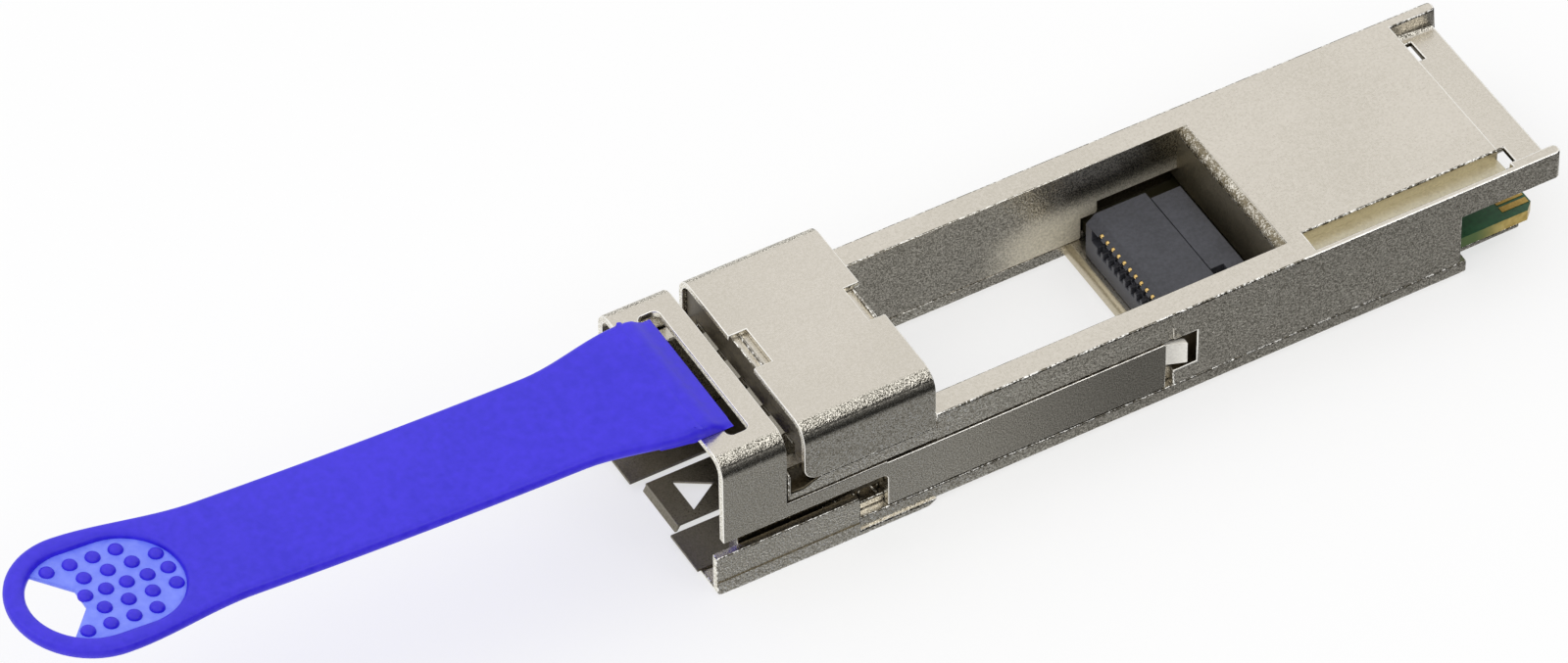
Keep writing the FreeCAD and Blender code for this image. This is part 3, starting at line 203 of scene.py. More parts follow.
# %% Light the studio
SKY_UP = 1.0
SKY_SIDE = 0.8
SKY_HEIGHTS = (0.0, 0.6)
ROOM_DARK = 0.22
ROOM_LIGHT = 0.95
ROOM_REACH = (-0.88, -0.5)
SKYLINE = (-0.15, 0.05)
SHADE_DARK = 0.04
SHADE_REACH = (-0.85, -1.1)
SHADE_TOP = (0.62, 0.42)
SHADE_FOOT = (-0.6, -0.35)

world = bpy.data.worlds.new("studio")
world.use_nodes = True
bpy.context.scene.world = world
tree = world.node_tree
background = tree.nodes["Background"]
background.inputs["Color"].default_value = (1, 1, 1, 1)
direction = split_coordinates(tree, "Generated")
height = direction["Z"]
behind = tree_math(tree, "SUBTRACT", direction["Y"], direction["X"])
sky = tree_range(tree, height, SKY_HEIGHTS, (SKY_SIDE, SKY_UP))
room = tree_range(tree, behind, ROOM_REACH, (ROOM_DARK, ROOM_LIGHT))
above = tree_range(tree, height, SKYLINE)
difference = tree_math(tree, "SUBTRACT", sky, room)
lit = tree_math(tree, "ADD", room, tree_math(tree, "MULTIPLY", above, difference))
in_front = tree_range(tree, behind, SHADE_REACH)
low_enough = tree_range(tree, height, SHADE_TOP)
high_enough = tree_range(tree, height, SHADE_FOOT)
shade = tree_math(tree, "MULTIPLY", in_front, tree_math(tree, "MULTIPLY", low_enough, high_enough))
dimming = tree_math(tree, "SUBTRACT", 1.0, tree_math(tree, "MULTIPLY", shade, 1.0 - SHADE_DARK))
strength = tree_math(tree, "MULTIPLY", lit, dimming)
tree.links.new(strength, background.inputs["Strength"])
print("studio lit by", world.name)

# %% Hang the softboxes
SOFTBOX_DISTANCE = 0.9
SOFTBOX_WATTS = 0.5


def softbox(name, direction, size):
    """A square area light that faces the plug from one direction."""
    data = bpy.data.lights.new(name, "AREA")
    data.shape = "SQUARE"
    data.size = size
    data.energy = SOFTBOX_WATTS
    light = bpy.data.objects.new(name, data)
    bpy.context.scene.collection.objects.link(light)
    light.location = LOOK_AT + Vector(direction).normalized() * SOFTBOX_DISTANCE
    light.rotation_euler = Vector(direction).to_track_quat("Z", "Y").to_euler()


softbox("top_softbox", direction=(-0.6, 0.3, 1.0), size=0.5)
softbox("edge_light", direction=(0.34, -0.69, 0.58), size=0.22)
bpy.context.scene.view_settings.view_transform = "Standard"
print("softboxes hung:", len(bpy.data.lights))

# %% [markdown]
# ## Grain for every finish
# Cast and plated metal, rubber and moulded plastic all have a fine grain. A picture of grain would need a
# file, so a node group makes it from noise on Object coordinates, in metres. It gives a height for relief, a
# tone in which fine grains mix with wide clouds, and a finer speckle. Each finish sets its own two scales.

# %% Build the grain group
FINE_SHARE = 0.6
CLOUD_SHARE = 0.4
SPECKLE_FINER = 1.8


def new_group(name, inputs, outputs):
    """An empty shader node group with float inputs and outputs."""
    group = bpy.data.node_groups.new(name, "ShaderNodeTree")
    for label, value in inputs:
        socket = group.interface.new_socket(name=label, in_out="INPUT", socket_type="NodeSocketFloat")
        socket.default_value = value
    for label in outputs:
        group.interface.new_socket(name=label, in_out="OUTPUT", socket_type="NodeSocketFloat")
    return group, group.nodes.new("NodeGroupInput"), group.nodes.new("NodeGroupOutput")


def noise(tree, vector, scale, detail):
    """A noise texture node whose scale comes from a socket, in waves a metre."""
    node = tree.nodes.new("ShaderNodeTexNoise")
    node.inputs["Detail"].default_value = detail
    tree.links.new(vector, node.inputs["Vector"])
    tree.links.new(scale, node.inputs["Scale"])
    return node.outputs["Fac"]


grain_group, group_in, group_out = new_group("fine_grain", [("Grains", 6000), ("Clouds", 120)],
                                             ["Height", "Tone", "Speckle"])
where = grain_group.nodes.new("ShaderNodeTexCoord").outputs["Object"]
fine = noise(grain_group, where, group_in.outputs["Grains"], 2)
cloud = noise(grain_group, where, group_in.outputs["Clouds"], 3)
blend = tree_math(grain_group, "ADD", tree_math(grain_group, "MULTIPLY", fine, FINE_SHARE),
                  tree_math(grain_group, "MULTIPLY", cloud, CLOUD_SHARE))
speckle_scale = tree_math(grain_group, "MULTIPLY", group_in.outputs["Grains"], SPECKLE_FINER)
speckle = noise(grain_group, where, speckle_scale, 2)
grain_group.links.new(fine, group_out.inputs["Height"])
grain_group.links.new(blend, group_out.inputs["Tone"])
grain_group.links.new(speckle, group_out.inputs["Speckle"])
print("group made:", grain_group.name)

# %% [markdown]
# ## Masks for sides and folds
# A plated piece looks different on each face: its sides keep the speckled skin of the plating, the upper
# half of a fold is stretched and gets painted glints, and its tops are rubbed smooth. Masks could be painted
# piece by piece, but a second group finds sides and folds from the normal alone, so it fits every piece.

# %% Build the face group
FOLD_BEGINS = (0.985, 0.93)
FOLD_ENDS = (0.58, 0.76)

face_group, group_in, group_out = new_group("face_masks", [], ["Side", "Fold"])
upward = split_coordinates(face_group, "Normal")["Z"]
side = tree_math(face_group, "SUBTRACT", 1.0, tree_math(face_group, "MULTIPLY", upward, upward))
leaning = tree_range(face_group, upward, FOLD_BEGINS)
not_steep = tree_range(face_group, upward, FOLD_ENDS)
face_group.links.new(side, group_out.inputs["Side"])
face_group.links.new(tree_math(face_group, "MULTIPLY", leaning, not_steep), group_out.inputs["Fold"])
print("group made:", face_group.name)

# %% [markdown]
# ## Rubber, plastic, gold and plain steel
# These have one colour that changes a little from grain to grain. One flat colour would look painted, so
# the colour and the roughness both follow the grain's tone, and its height gives a fine relief. Only the
# numbers differ from one finish to the next, so one function makes them all.

# %% A finish with a grain
MIDDLE = (0.36, 0.64)
TONE_LIMITS = (0.3, 0.7)


def use_group(tree, group, **values):
    """A group node in a material, with its own values."""
    node = tree.nodes.new("ShaderNodeGroup")
    node.node_tree = group
    for label, value in values.items():
        node.inputs[label].default_value = value
    return node


def colour_ramp(tree, value, dark, light, spread=MIDDLE):
    """Two colours spread over part of a noise value."""
    ramp = tree.nodes.new("ShaderNodeValToRGB")
    for element, position, colour in zip(ramp.color_ramp.elements, spread, (dark, light)):
        element.position = position
        element.color = (*colour, 1)
    tree.links.new(value, ramp.inputs["Fac"])
    return ramp.outputs["Color"]


def add_relief(tree, shader, height, distance):
    """Relief from a height socket, as deep as the distance in metres."""
    relief = tree.nodes.new("ShaderNodeBump")
    relief.inputs["Distance"].default_value = distance
    tree.links.new(height, relief.inputs["Height"])
    tree.links.new(relief.outputs["Normal"], shader.inputs["Normal"])


def grained(name, dark, light, roughness, grains, clouds, relief, metallic=0.0, spread=MIDDLE):
    """A finish whose colour and roughness follow the grain, with the grain as relief."""
    material, tree, shader = material_start(name)
    grain = use_group(tree, grain_group, Grains=grains, Clouds=clouds)
    tone = grain.outputs["Tone"]
    tree.links.new(colour_ramp(tree, tone, dark, light, spread), shader.inputs["Base Color"])
    tree.links.new(tree_range(tree, tone, TONE_LIMITS, roughness), shader.inputs["Roughness"])
    add_relief(tree, shader, grain.outputs["Height"], relief)
    shader.inputs["Metallic"].default_value = metallic
    print("finish made:", name)
    return material


# %% Rubber, plastic and ceramic
strap_blue = grained("strap_rubber", (0.022, 0.008, 0.66), (0.040, 0.018, 0.77), (0.38, 0.48),
                     1500, 130, 0.6e-5)
film_blue = grained("strap_film", (0.16, 0.22, 0.95), (0.22, 0.29, 1.0), (0.34, 0.46),
                    1500, 200, 0.6e-5)
connector_black = grained("connector_black", (0.034, 0.035, 0.043), (0.062, 0.063, 0.076), (0.40, 0.55),
                          3600, 500, 1.2e-5)
chip_black = grained("chip_black", (0.016, 0.016, 0.018), (0.034, 0.034, 0.036), (0.42, 0.56),
                     5000, 400, 0.8e-5)
ferrite_grey = grained("ferrite_grey", (0.07, 0.07, 0.075), (0.12, 0.12, 0.125), (0.5, 0.65),
                       5000, 500, 1.2e-5)
ceramic_tan = grained("ceramic_tan", (0.36, 0.24, 0.13), (0.48, 0.34, 0.20), (0.32, 0.45),
                      6000, 700, 0.5e-5)

# %% Gold and plain steel
contact_gold = grained("contact_gold", (0.72, 0.47, 0.15), (0.90, 0.66, 0.28), (0.24, 0.34),
                       8000, 600, 0.5e-5, metallic=1.0)
# The pads' gold is painted darker than the contacts' as shade, since they lie in shadow.
pad_gold_painted_shade = grained("pad_gold_painted_shade", (0.30, 0.20, 0.055), (0.46, 0.32, 0.10), (0.28, 0.40),
                   5000, 400, 0.5e-5, metallic=1.0)
# Plain steel painted darker as shade, for the dark room that the latch plate mirrors.
latch_steel_painted_shade = grained("latch_steel_painted_shade", (0.15, 0.135, 0.105), (0.24, 0.22, 0.18), (0.26, 0.36),
                      7000, 120, 1.5e-5, metallic=1.0)
# Steel painted dark as shade, so that the ground spring's fingers in the slot read as shadow.
spring_steel = grained("spring_steel", (0.24, 0.22, 0.18), (0.36, 0.34, 0.29), (0.26, 0.36),
                       9000, 200, 0.6e-5, metallic=1.0)
screw_steel = grained("screw_steel", (0.50, 0.50, 0.50), (0.64, 0.64, 0.63), (0.22, 0.32),
                      8000, 300, 0.6e-5, metallic=1.0)

# %% [markdown]
# ## Nickel plating
# The two castings, the hood and the release slider are plated with nickel. It could be one grey metal, but
# then sides and tops would look alike. So the two masks choose between a rubbed top, a speckled side with
# painted light at the front end and painted shade towards the plug end, and a fold with painted glints, and
# they set how deep the relief is on each.

# %% A plated finish
SPECKLE_DARK = (0.30, 0.278, 0.228)
SPECKLE_LIGHT = (1.0, 0.95, 0.835)
PAINTED_GLINT_DARK = (0.12, 0.11, 0.085)
PAINTED_GLINT_SPREAD = (0.42, 0.58)


def mix_colour(tree, share, first, second):
    """A colour that goes from the first to the second with the share; each is a socket or a colour."""
    node = tree.nodes.new("ShaderNodeMix")
    node.data_type = "RGBA"
    for value, socket in ((share, node.inputs[0]), (first, node.inputs[6]), (second, node.inputs[7])):
        if isinstance(value, tuple):
            socket.default_value = (*value, 1)
        else:
            tree.links.new(value, socket)
    return node.outputs[2]


def plated(name, dark, light, roughness, grains, clouds, relief, depths, painted_light_places, painted_light_tones):
    """Plated metal: rubbed tops, speckled sides with painted light and shade along X in mm, painted glints on
    folds.

    depths are shares of the relief on tops and sides, and what a fold adds to them.
    """
    material, tree, shader = material_start(name)
    grain = use_group(tree, grain_group, Grains=grains, Clouds=clouds)
    faces = use_group(tree, face_group)
    along = split_coordinates(tree, "Object")["X"]
    rubbed = colour_ramp(tree, grain.outputs["Tone"], dark, light)
    speckle = colour_ramp(tree, grain.outputs["Speckle"], SPECKLE_DARK, SPECKLE_LIGHT)
    # Painted glints for the folds: dark and near-white grains in the base colour.
    painted_glint = colour_ramp(tree, grain.outputs["Speckle"], PAINTED_GLINT_DARK, SPECKLE_LIGHT, PAINTED_GLINT_SPREAD)
    # The speckle is scaled along X: painted light at the front end, painted shade towards the plug end.
    shaded_skin = tree.nodes.new("ShaderNodeVectorMath")
    shaded_skin.operation = "SCALE"
    tree.links.new(speckle, shaded_skin.inputs[0])
    tree.links.new(tree_range(tree, along, [x * MM for x in painted_light_places], painted_light_tones), shaded_skin.inputs["Scale"])
    colour = mix_colour(tree, faces.outputs["Side"], rubbed, shaded_skin.outputs["Vector"])
    colour = mix_colour(tree, faces.outputs["Fold"], colour, painted_glint)
    tree.links.new(colour, shader.inputs["Base Color"])
    tone = grain.outputs["Tone"]
    tree.links.new(tree_range(tree, tone, TONE_LIMITS, roughness), shader.inputs["Roughness"])
    top, side, fold = depths
    depth = tree_math(tree, "ADD", tree_math(tree, "MULTIPLY", faces.outputs["Side"], side - top), top)
    depth = tree_math(tree, "ADD", depth, tree_math(tree, "MULTIPLY", faces.outputs["Fold"], fold))
    add_relief(tree, shader, tree_math(tree, "MULTIPLY", grain.outputs["Height"], depth), relief)
    shader.inputs["Metallic"].default_value = 1.0
    print("finish made:", name)
    return material


# Both nickels have painted light on their sides at the front end and painted shade towards the plug end.
cast_nickel = plated("cast_nickel", (0.58, 0.54, 0.465), (0.70, 0.655, 0.58), (0.24, 0.34),
                     5600, 70, 9e-5, depths=(0.16, 0.4, 0.5), painted_light_places=(-6, 18),
                     painted_light_tones=(1.28, 0.92))
sheet_nickel = plated("sheet_nickel", (0.60, 0.56, 0.485), (0.70, 0.655, 0.585), (0.22, 0.30),
                      6200, 60, 8e-5, depths=(0.12, 0.2, 1.3), painted_light_places=(-3, 18),
                      painted_light_tones=(1.20, 0.56))

# %% [markdown]
# ## Painted light on edges and in hollows
# Edges and rims get painted highlights and glints, hollows get painted shade, and a few walls and the groove
# are browner. Edges could be found with the Pointiness of a Geometry node, but that needs a dense mesh. So
# edges, rims and hollows get finishes of their own here, and later steps find their faces.

# %% Finishes for edges and hollows
# Painted glints for the castings' rounded edges: dark and near-white grains in the base colour.
painted_cast_glints = grained("cast_nickel_painted_glints", (0.16, 0.145, 0.115), (1.0, 0.98, 0.93), (0.14, 0.26),
                    4400, 900, 9e-5, metallic=1.0, spread=(0.47, 0.58))
# Painted glints over a brownish base for the window's rounded edge.
window_painted_glints = grained("window_painted_glints", (0.20, 0.17, 0.115), (0.90, 0.86, 0.77), (0.20, 0.32),
                     7200, 1500, 5e-5, metallic=1.0, spread=(0.46, 0.68))
# A painted highlight for rims and for the sheets' cut edges.
painted_highlight = grained("painted_highlight", (0.84, 0.81, 0.74), (1.0, 0.98, 0.93), (0.18, 0.28),
                      5000, 700, 2e-5, metallic=1.0)
# A painted highlight for the ramp tabs.
ramp_painted_highlight = grained("ramp_painted_highlight", (0.84, 0.81, 0.74), (1.0, 0.97, 0.90), (0.30, 0.40),
                      5000, 300, 1e-5, metallic=0.35)
# Painted shade for hollows and gaps.
cast_painted_shade = grained("cast_painted_shade", (0.07, 0.058, 0.040), (0.17, 0.145, 0.10), (0.3, 0.45),
                      5000, 300, 2e-5, metallic=1.0)
brown_wall = grained("brown_wall", (0.44, 0.385, 0.28), (0.58, 0.52, 0.39), (0.36, 0.48),
                     6000, 90, 1e-5, metallic=1.0)
groove_khaki = grained("groove_khaki", (0.50, 0.455, 0.34), (0.64, 0.59, 0.45), (0.28, 0.40),
                       5000, 300, 2e-5, metallic=1.0)

# %% [markdown]
# ## Painted light on the inner wall
# The far wall inside the window is bare casting that looks pale and dull near the connector. A lamp could
# brighten it, but it would light the connector too. So a mask along X and Z mixes a pale, matte painted
# light into the speckled metal.

# %% Finish the inner wall
PAINTED_LIGHT_TOP_TO_FOOT = (6.6 * MM, 3.0 * MM)
PAINTED_LIGHT_FRONT_TO_REAR = (11 * MM, 18 * MM)
PAINTED_LIGHT_LOW = (0.50, 0.455, 0.35)
PAINTED_LIGHT_HIGH = (0.78, 0.72, 0.58)

inner_wall, tree, shader = material_start("inner_wall")
grain = use_group(tree, grain_group, Grains=5600, Clouds=70)
along = split_coordinates(tree, "Object")
# Painted light: pale and matte towards the wall's foot near the connector.
painted_light_share = tree_math(tree, "MULTIPLY", tree_range(tree, along["Z"], PAINTED_LIGHT_TOP_TO_FOOT),
                  tree_range(tree, along["X"], PAINTED_LIGHT_FRONT_TO_REAR))
metal = colour_ramp(tree, grain.outputs["Speckle"], SPECKLE_DARK, SPECKLE_LIGHT)
painted_light_colour = colour_ramp(tree, grain.outputs["Tone"], PAINTED_LIGHT_LOW, PAINTED_LIGHT_HIGH)
tree.links.new(mix_colour(tree, painted_light_share, metal, painted_light_colour), shader.inputs["Base Color"])
tree.links.new(tree_range(tree, painted_light_share, (0.0, 1.0), (1.0, 0.15)), shader.inputs["Metallic"])
tree.links.new(tree_range(tree, painted_light_share, (0.0, 1.0), (0.28, 0.55)), shader.inputs["Roughness"])
add_relief(tree, shader, grain.outputs["Height"], 3e-5)
print("finish made:", inner_wall.name)

# %% [markdown]
# ## The circuit board
# The board is glass laminate under a green coat. Its tongue sticks out at the plug end, where the cut edge
# shows the yellow laminate, and its front end lies in the shade under the connector, which is painted into
# its colour as a dark tone. Each end could be a piece with a finish of its own, but the real board is one
# piece. So one finish changes along X, and from the top to the cut edge.

# %% Finish the board
TONGUE_GREEN = 45.5 * MM
TONGUE_GOLD = 49.0 * MM
WINDOW_END = 30.0 * MM
WINDOW_FADE = 1.5 * MM
BOARD_PAINTED_SHADE = (0.030, 0.026, 0.012)
GREEN_EDGE = (0.075, 0.13, 0.035)

board_green, tree, shader = material_start("board_laminate")
grain = use_group(tree, grain_group, Grains=2500, Clouds=300)
faces = use_group(tree, face_group)
tone = grain.outputs["Tone"]
along = split_coordinates(tree, "Object")["X"]
bare = tree_range(tree, along, (TONGUE_GREEN, TONGUE_GOLD))
past_window = tree_range(tree, along, (WINDOW_END, WINDOW_END + WINDOW_FADE))
green_coat = colour_ramp(tree, tone, (0.010, 0.070, 0.030), (0.020, 0.115, 0.046))
# Painted shade: the board under the connector, before the window's end, is dark.
green_coat = mix_colour(tree, past_window, BOARD_PAINTED_SHADE, green_coat)
laminate = colour_ramp(tree, tone, (0.36, 0.25, 0.055), (0.56, 0.42, 0.13))
cut_edge = mix_colour(tree, bare, GREEN_EDGE, laminate)
cut_edge = mix_colour(tree, past_window, BOARD_PAINTED_SHADE, cut_edge)
tree.links.new(mix_colour(tree, faces.outputs["Side"], green_coat, cut_edge), shader.inputs["Base Color"])
tree.links.new(tree_range(tree, tone, TONE_LIMITS, (0.28, 0.42)), shader.inputs["Roughness"])
add_relief(tree, shader, grain.outputs["Height"], 0.6e-5)
print("finish made:", board_green.name)

# %% [markdown]
# ## Copies with rounded edges
# No real edge is sharp: a casting and a stamped sheet both have a small radius that catches the light.
# The CAD faces could be shaded as they are, but then no edge would glint. So each large piece is copied, its
# loose triangles are merged back into whole faces, and its outer edges are bevelled. The bevel's faces take
# a second finish. Most inner corners stay sharp, because they don't glint.

# %% Work in edit mode
SHARP = math.radians(30)


def open_mesh(piece):
    """Make the piece the only selected one and go to edit mode."""
    deselect()
    piece.select_set(True)
    bpy.context.view_layer.objects.active = piece
    bpy.ops.object.mode_set(mode="EDIT")


def close_mesh():
    bpy.ops.object.mode_set(mode="OBJECT")


def select_edges(piece, wanted):
    """In edit mode, select the edges that the test accepts."""
    bpy.ops.mesh.select_mode(type="EDGE")
    bpy.ops.mesh.select_all(action="DESELECT")
    mesh = bmesh.from_edit_mesh(piece.data)
    count = 0
    for edge in mesh.edges:
        if wanted(edge):
            edge.select = True
            count += 1
    bmesh.update_edit_mesh(piece.data)
    return count


def is_sharp(edge):
    """Outer edges whose faces meet at an angle; inner corners stay as they are."""
    return len(edge.link_faces) == 2 and edge.is_convex and edge.calc_face_angle() > SHARP


print("edges are sharp from", round(math.degrees(SHARP)), "degrees")

# %% Round the edges of a copy
SAME_POINT = 1e-6
SAME_PLANE = math.radians(0.6)
SMOOTH_METAL = math.radians(60)


def smooth_flats(piece):
    """Smooth shading whose normals follow the large faces, so flats stay flat beside a bevel."""
    deselect()
    piece.select_set(True)
    bpy.context.view_layer.objects.active = piece
    bpy.ops.object.shade_smooth_by_angle(angle=SMOOTH_METAL)
    bpy.ops.object.modifier_add(type="WEIGHTED_NORMAL")
    piece.modifiers[-1].keep_sharp = True
    bpy.ops.object.modifier_apply(modifier=piece.modifiers[-1].name)


def body_of(node):
    return nodes[node]["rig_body"]


def rounded_copy(node, name, width, finish, edge_finish, edge_test=is_sharp, larger=(), cuts=()):
    """A copy of a CAD node with bevelled edges that stands for the node.

    larger lists (test, width) of wider roundings, and cuts lists places along X where long faces are parted.
    """
    mesh = nodes[node].data.copy()
    mesh.materials.clear()
    mesh.materials.append(finish)
    mesh.materials.append(edge_finish)
    piece = bpy.data.objects.new(name, mesh)
    bpy.context.scene.collection.objects.link(piece)
    open_mesh(piece)
    bpy.ops.mesh.select_all(action="SELECT")
    bpy.ops.mesh.customdata_custom_splitnormals_clear()
    bpy.ops.mesh.remove_doubles(threshold=SAME_POINT)
    bpy.ops.mesh.dissolve_limited(angle_limit=SAME_PLANE)
    for cut in cuts:
        bpy.ops.mesh.select_all(action="SELECT")
        bpy.ops.mesh.bisect(plane_co=(cut, 0, 0), plane_no=(1, 0, 0))
    for wanted, large_width in larger:
        select_edges(piece, wanted)
        bpy.ops.mesh.bevel(offset=large_width, segments=4, affect="EDGES", clamp_overlap=False)
    count = select_edges(piece, edge_test)
    bpy.ops.mesh.bevel(offset=width, segments=2, affect="EDGES", clamp_overlap=False, material=1)
    close_mesh()
    smooth_flats(piece)
    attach(piece, body_of(node))
    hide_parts(node)
    print(name, "edges rounded:", count, "faces:", len(piece.data.polygons))
    return piece


# %% [markdown]
# ## The two castings
# The housing and the tray are the upper and the lower half of the plug body. Die casting leaves a rounding
# on every edge, and wider ones at the rails' tips and beside the lowered lip. A Bevel modifier would give
# all edges one width, so the wider ones are found by place and bevelled first. A cut behind the window parts
# the long top faces there, so that the groove's rim can have a finish of its own.

# %% Round the castings
CAST_ROUND = 0.14 * MM
TRAY_ROUND = 0.1 * MM
TIP_ROUND = 0.4 * MM
LIP_ROUND = 0.55 * MM
FOOT_LINE = 0.8 * MM
RAIL_TIP = cad_high.x
LIP_TOP = 7.0 * MM
RAIL_INNER = 8.225 * MM
BEHIND_WINDOW = 30.6 * MM
NEAR_ENOUGH = 0.05 * MM
STRAIGHT = 0.99


def edge_middle(edge):
    return (edge.verts[0].co + edge.verts[1].co) / 2


def edge_way(edge):
    return (edge.verts[1].co - edge.verts[0].co).normalized()


def tray_edge(edge):
    """Sharp edges of the tray, but not the shallow line along the band's foot."""
    return is_sharp(edge) and abs(edge_middle(edge).z - FOOT_LINE) > NEAR_ENOUGH


def rail_tip_edge(edge):
    """Upright edges at the ends of the rails."""
    return abs(edge_way(edge).z) > STRAIGHT and abs(edge_middle(edge).x - RAIL_TIP) < NEAR_ENOUGH


def lip_corner_edge(edge):
    """Inner corners between the rails and the lowered lip."""
    middle = edge_middle(edge)
    beside = abs(abs(middle.y) - RAIL_INNER) < NEAR_ENOUGH
    on_top = abs(middle.z - LIP_TOP) < NEAR_ENOUGH
    return beside and on_top and abs(edge_way(edge).x) > STRAIGHT


housing = rounded_copy("housing", "housing_casting", CAST_ROUND, cast_nickel, painted_cast_glints,
                       larger=[(rail_tip_edge, TIP_ROUND), (lip_corner_edge, LIP_ROUND)],
                       cuts=[BEHIND_WINDOW])
tray = rounded_copy("bottom_tray", "tray_casting", TRAY_ROUND, cast_nickel, painted_cast_glints,
                    edge_test=tray_edge)

# %% [markdown]
# ## Where the castings get painted shade and painted highlights
# Hollows of the castings get painted shade, rims and edges painted highlights and glints, the far inner
# wall painted light, and some inner walls are browner. A brush could paint them, but a script can't hold its
# strokes. So each place is a box in mm, with the way its faces look where that matters, and the faces whose
# middle lies in the box take the finish made for it.

# %% Tests for the hollows and inner walls
FAR = 1000
ANYWHERE = (-FAR, FAR)


def inside(place, x=ANYWHERE, y=ANYWHERE, z=ANYWHERE, aside=ANYWHERE):
    """Whether a place lies between limits in mm; aside is its distance from the middle plane."""
    spans = ((place.x, x), (place.y, y), (place.z, z), (abs(place.y), aside))
    return all(low < value < high for value, (low, high) in spans)


def in_nose_gap(place, normal, rounded):
    """Roof front between hood and bridge, hollows round the flange corners and walls behind the legs."""
    roof_front = normal.x < -0.7 and inside(place, x=(-12.2, -11.2), z=(6, FAR))
    hollow = inside(place, x=(-13.0, -10.3), z=(6.3, 8.6), aside=(7.5, FAR))
    behind_legs = abs(normal.y) > 0.7 and inside(place, x=(-FAR, -1), z=(-FAR, 8.5), aside=(7.2, 8.7))
    return roof_front or hollow or behind_legs


def in_ramp_recess(place, normal, rounded):
    return not rounded and inside(place, x=(17.5, 21.3), z=(2.0, 6.5), aside=(8.0, 9.12))


def in_far_recess(place, normal, rounded):
    return not rounded and inside(place, x=(20.8, 29.2), y=(7.2, 8.5), z=(1, 4.4))


def in_corner_hole(place, normal, rounded):
    return abs(normal.z) < 0.6 and inside(place, x=(48.45, 51), z=(5.4, 6.95), aside=(5.5, 8.2))


def under_window_edge(place, normal, rounded):
    return normal.x < -0.8 and inside(place, x=(29.0, 31), y=(-7, 7), z=(-FAR, 7.8))


def on_far_inner_wall(place, normal, rounded):
    return normal.y < -0.9 and inside(place, x=(-FAR, 29.2), y=(6.9, 7.3), z=(1, FAR))


def in_rail_groove(place, normal, rounded):
    return inside(place, x=(30, 48.5), y=(-8.7, -6.6), z=(7, 8.2))


def on_foot_step(place, normal, rounded):
    return normal.z > 0.9 and inside(place, x=(-FAR, 0), z=(0.75, 0.85))


def on_floor_lip(place, normal, rounded):
    return inside(place, x=(19.3, 20.5), y=(-7.3, 7.3), z=(0.2, FAR))


print("tests ready for hollows and inner walls")

# %% Tests for the rims
def on_window_edge(place, normal, rounded):
    return normal.x < -0.12 < normal.z and inside(place, x=(29.1, 30.2), y=(-7, 7), z=(7.5, 8.6))


def on_painted_highlight(place, normal, rounded):
    """Edges across the part, the rims of groove and ramp recess, and the steps of the far wall."""
    across = rounded and abs(normal.y) < 0.3 and inside(place, x=(-1, FAR))
    groove_rim = normal.z > 0.3 and inside(place, x=(30, FAR), y=(-FAR, -8.2), z=(8.3, FAR))
    far_steps = rounded and inside(place, x=(19, 29), y=(6, 8.2), z=(2.4, 5.2))
    recess_rim = rounded and inside(place, x=(17.5, 21.3), z=(2.0, 6.5), aside=(8.7, FAR))
    return across or groove_rim or far_steps or recess_rim


print("tests ready for rims")

# %% Paint the castings
def paint(piece, finish, wanted):
    """Give another finish to the faces that the test accepts, by their middle in mm and their normal.

    The test is also told whether a face still has the finish of a rounded edge.
    """
    piece.data.materials.append(finish)
    count = 0
    for face in piece.data.polygons:
        if wanted(face.center / MM, face.normal, face.material_index == 1):
            face.material_index = len(piece.data.materials) - 1
            count += 1
    print(piece.name, "faces in", finish.name + ":", count)


# Painted shade in the nose's gaps, the corner hole and the far and ramp recesses.
paint(housing, cast_painted_shade, in_nose_gap)
paint(housing, cast_painted_shade, in_corner_hole)
paint(housing, cast_painted_shade, in_far_recess)
paint(housing, cast_painted_shade, in_ramp_recess)
# Painted glints on the window's rounded edge.
paint(housing, window_painted_glints, on_window_edge)
paint(housing, brown_wall, under_window_edge)
# Painted light on the far inner wall.
paint(housing, inner_wall, on_far_inner_wall)
paint(housing, groove_khaki, in_rail_groove)
# Painted highlights on edges across the part, on rims and on the far wall's steps.
paint(housing, painted_highlight, on_painted_highlight)
# Painted shade along the tray's foot step.
paint(tray, cast_painted_shade, on_foot_step)
paint(tray, brown_wall, on_floor_lip)

# %% [markdown]
# ## The stamped sheets
# The hood, the release slider and the latch plate are stamped from sheet. The press leaves a thin line along
# each cut edge, narrower than a casting's rounding and with a painted highlight on the plated sheets. A bump
# could draw such a line, but it wouldn't show in outline, so the same copy is made with a smaller bevel. The
# arms' lower edges get painted shade with painted glints, and the ramp tabs at their ends a painted highlight.

# %% Round the sheets
SHEET_ROUND = 0.08 * MM
LATCH_ROUND = 0.06 * MM


def on_arm_foot(place, normal, rounded):
    return rounded and inside(place, x=(-4.5, FAR), z=(-FAR, 1.7))


def on_ramp_tab(place, normal, rounded):
    return inside(place, x=(18.4, FAR))


rounded_copy("front_hood", "hood_sheet", SHEET_ROUND, sheet_nickel, painted_highlight)
slider = rounded_copy("release_slider", "slider_sheet", SHEET_ROUND, sheet_nickel, painted_highlight)
# Painted shade with painted glints on the arms' lower edges.
paint(slider, painted_cast_glints, on_arm_foot)
# A painted highlight on the ramp tabs.
paint(slider, ramp_painted_highlight, on_ramp_tab)
rounded_copy("latch_plate", "latch_sheet", LATCH_ROUND, latch_steel_painted_shade, latch_steel_painted_shade)

# %% [markdown]
# ## The port's connector
# Its insulator is two black mouldings with a row of gold contact tips. Black plastic shows its form only by
# the light along its edges, so these copies get a fine bevel too. The tips are bent from strip, so their
# bevel is a little wider, which makes them look rolled rather than cut.

# %% Round the connector
MOULD_ROUND = 0.06 * MM
TIP_BEND_ROUND = 0.08 * MM

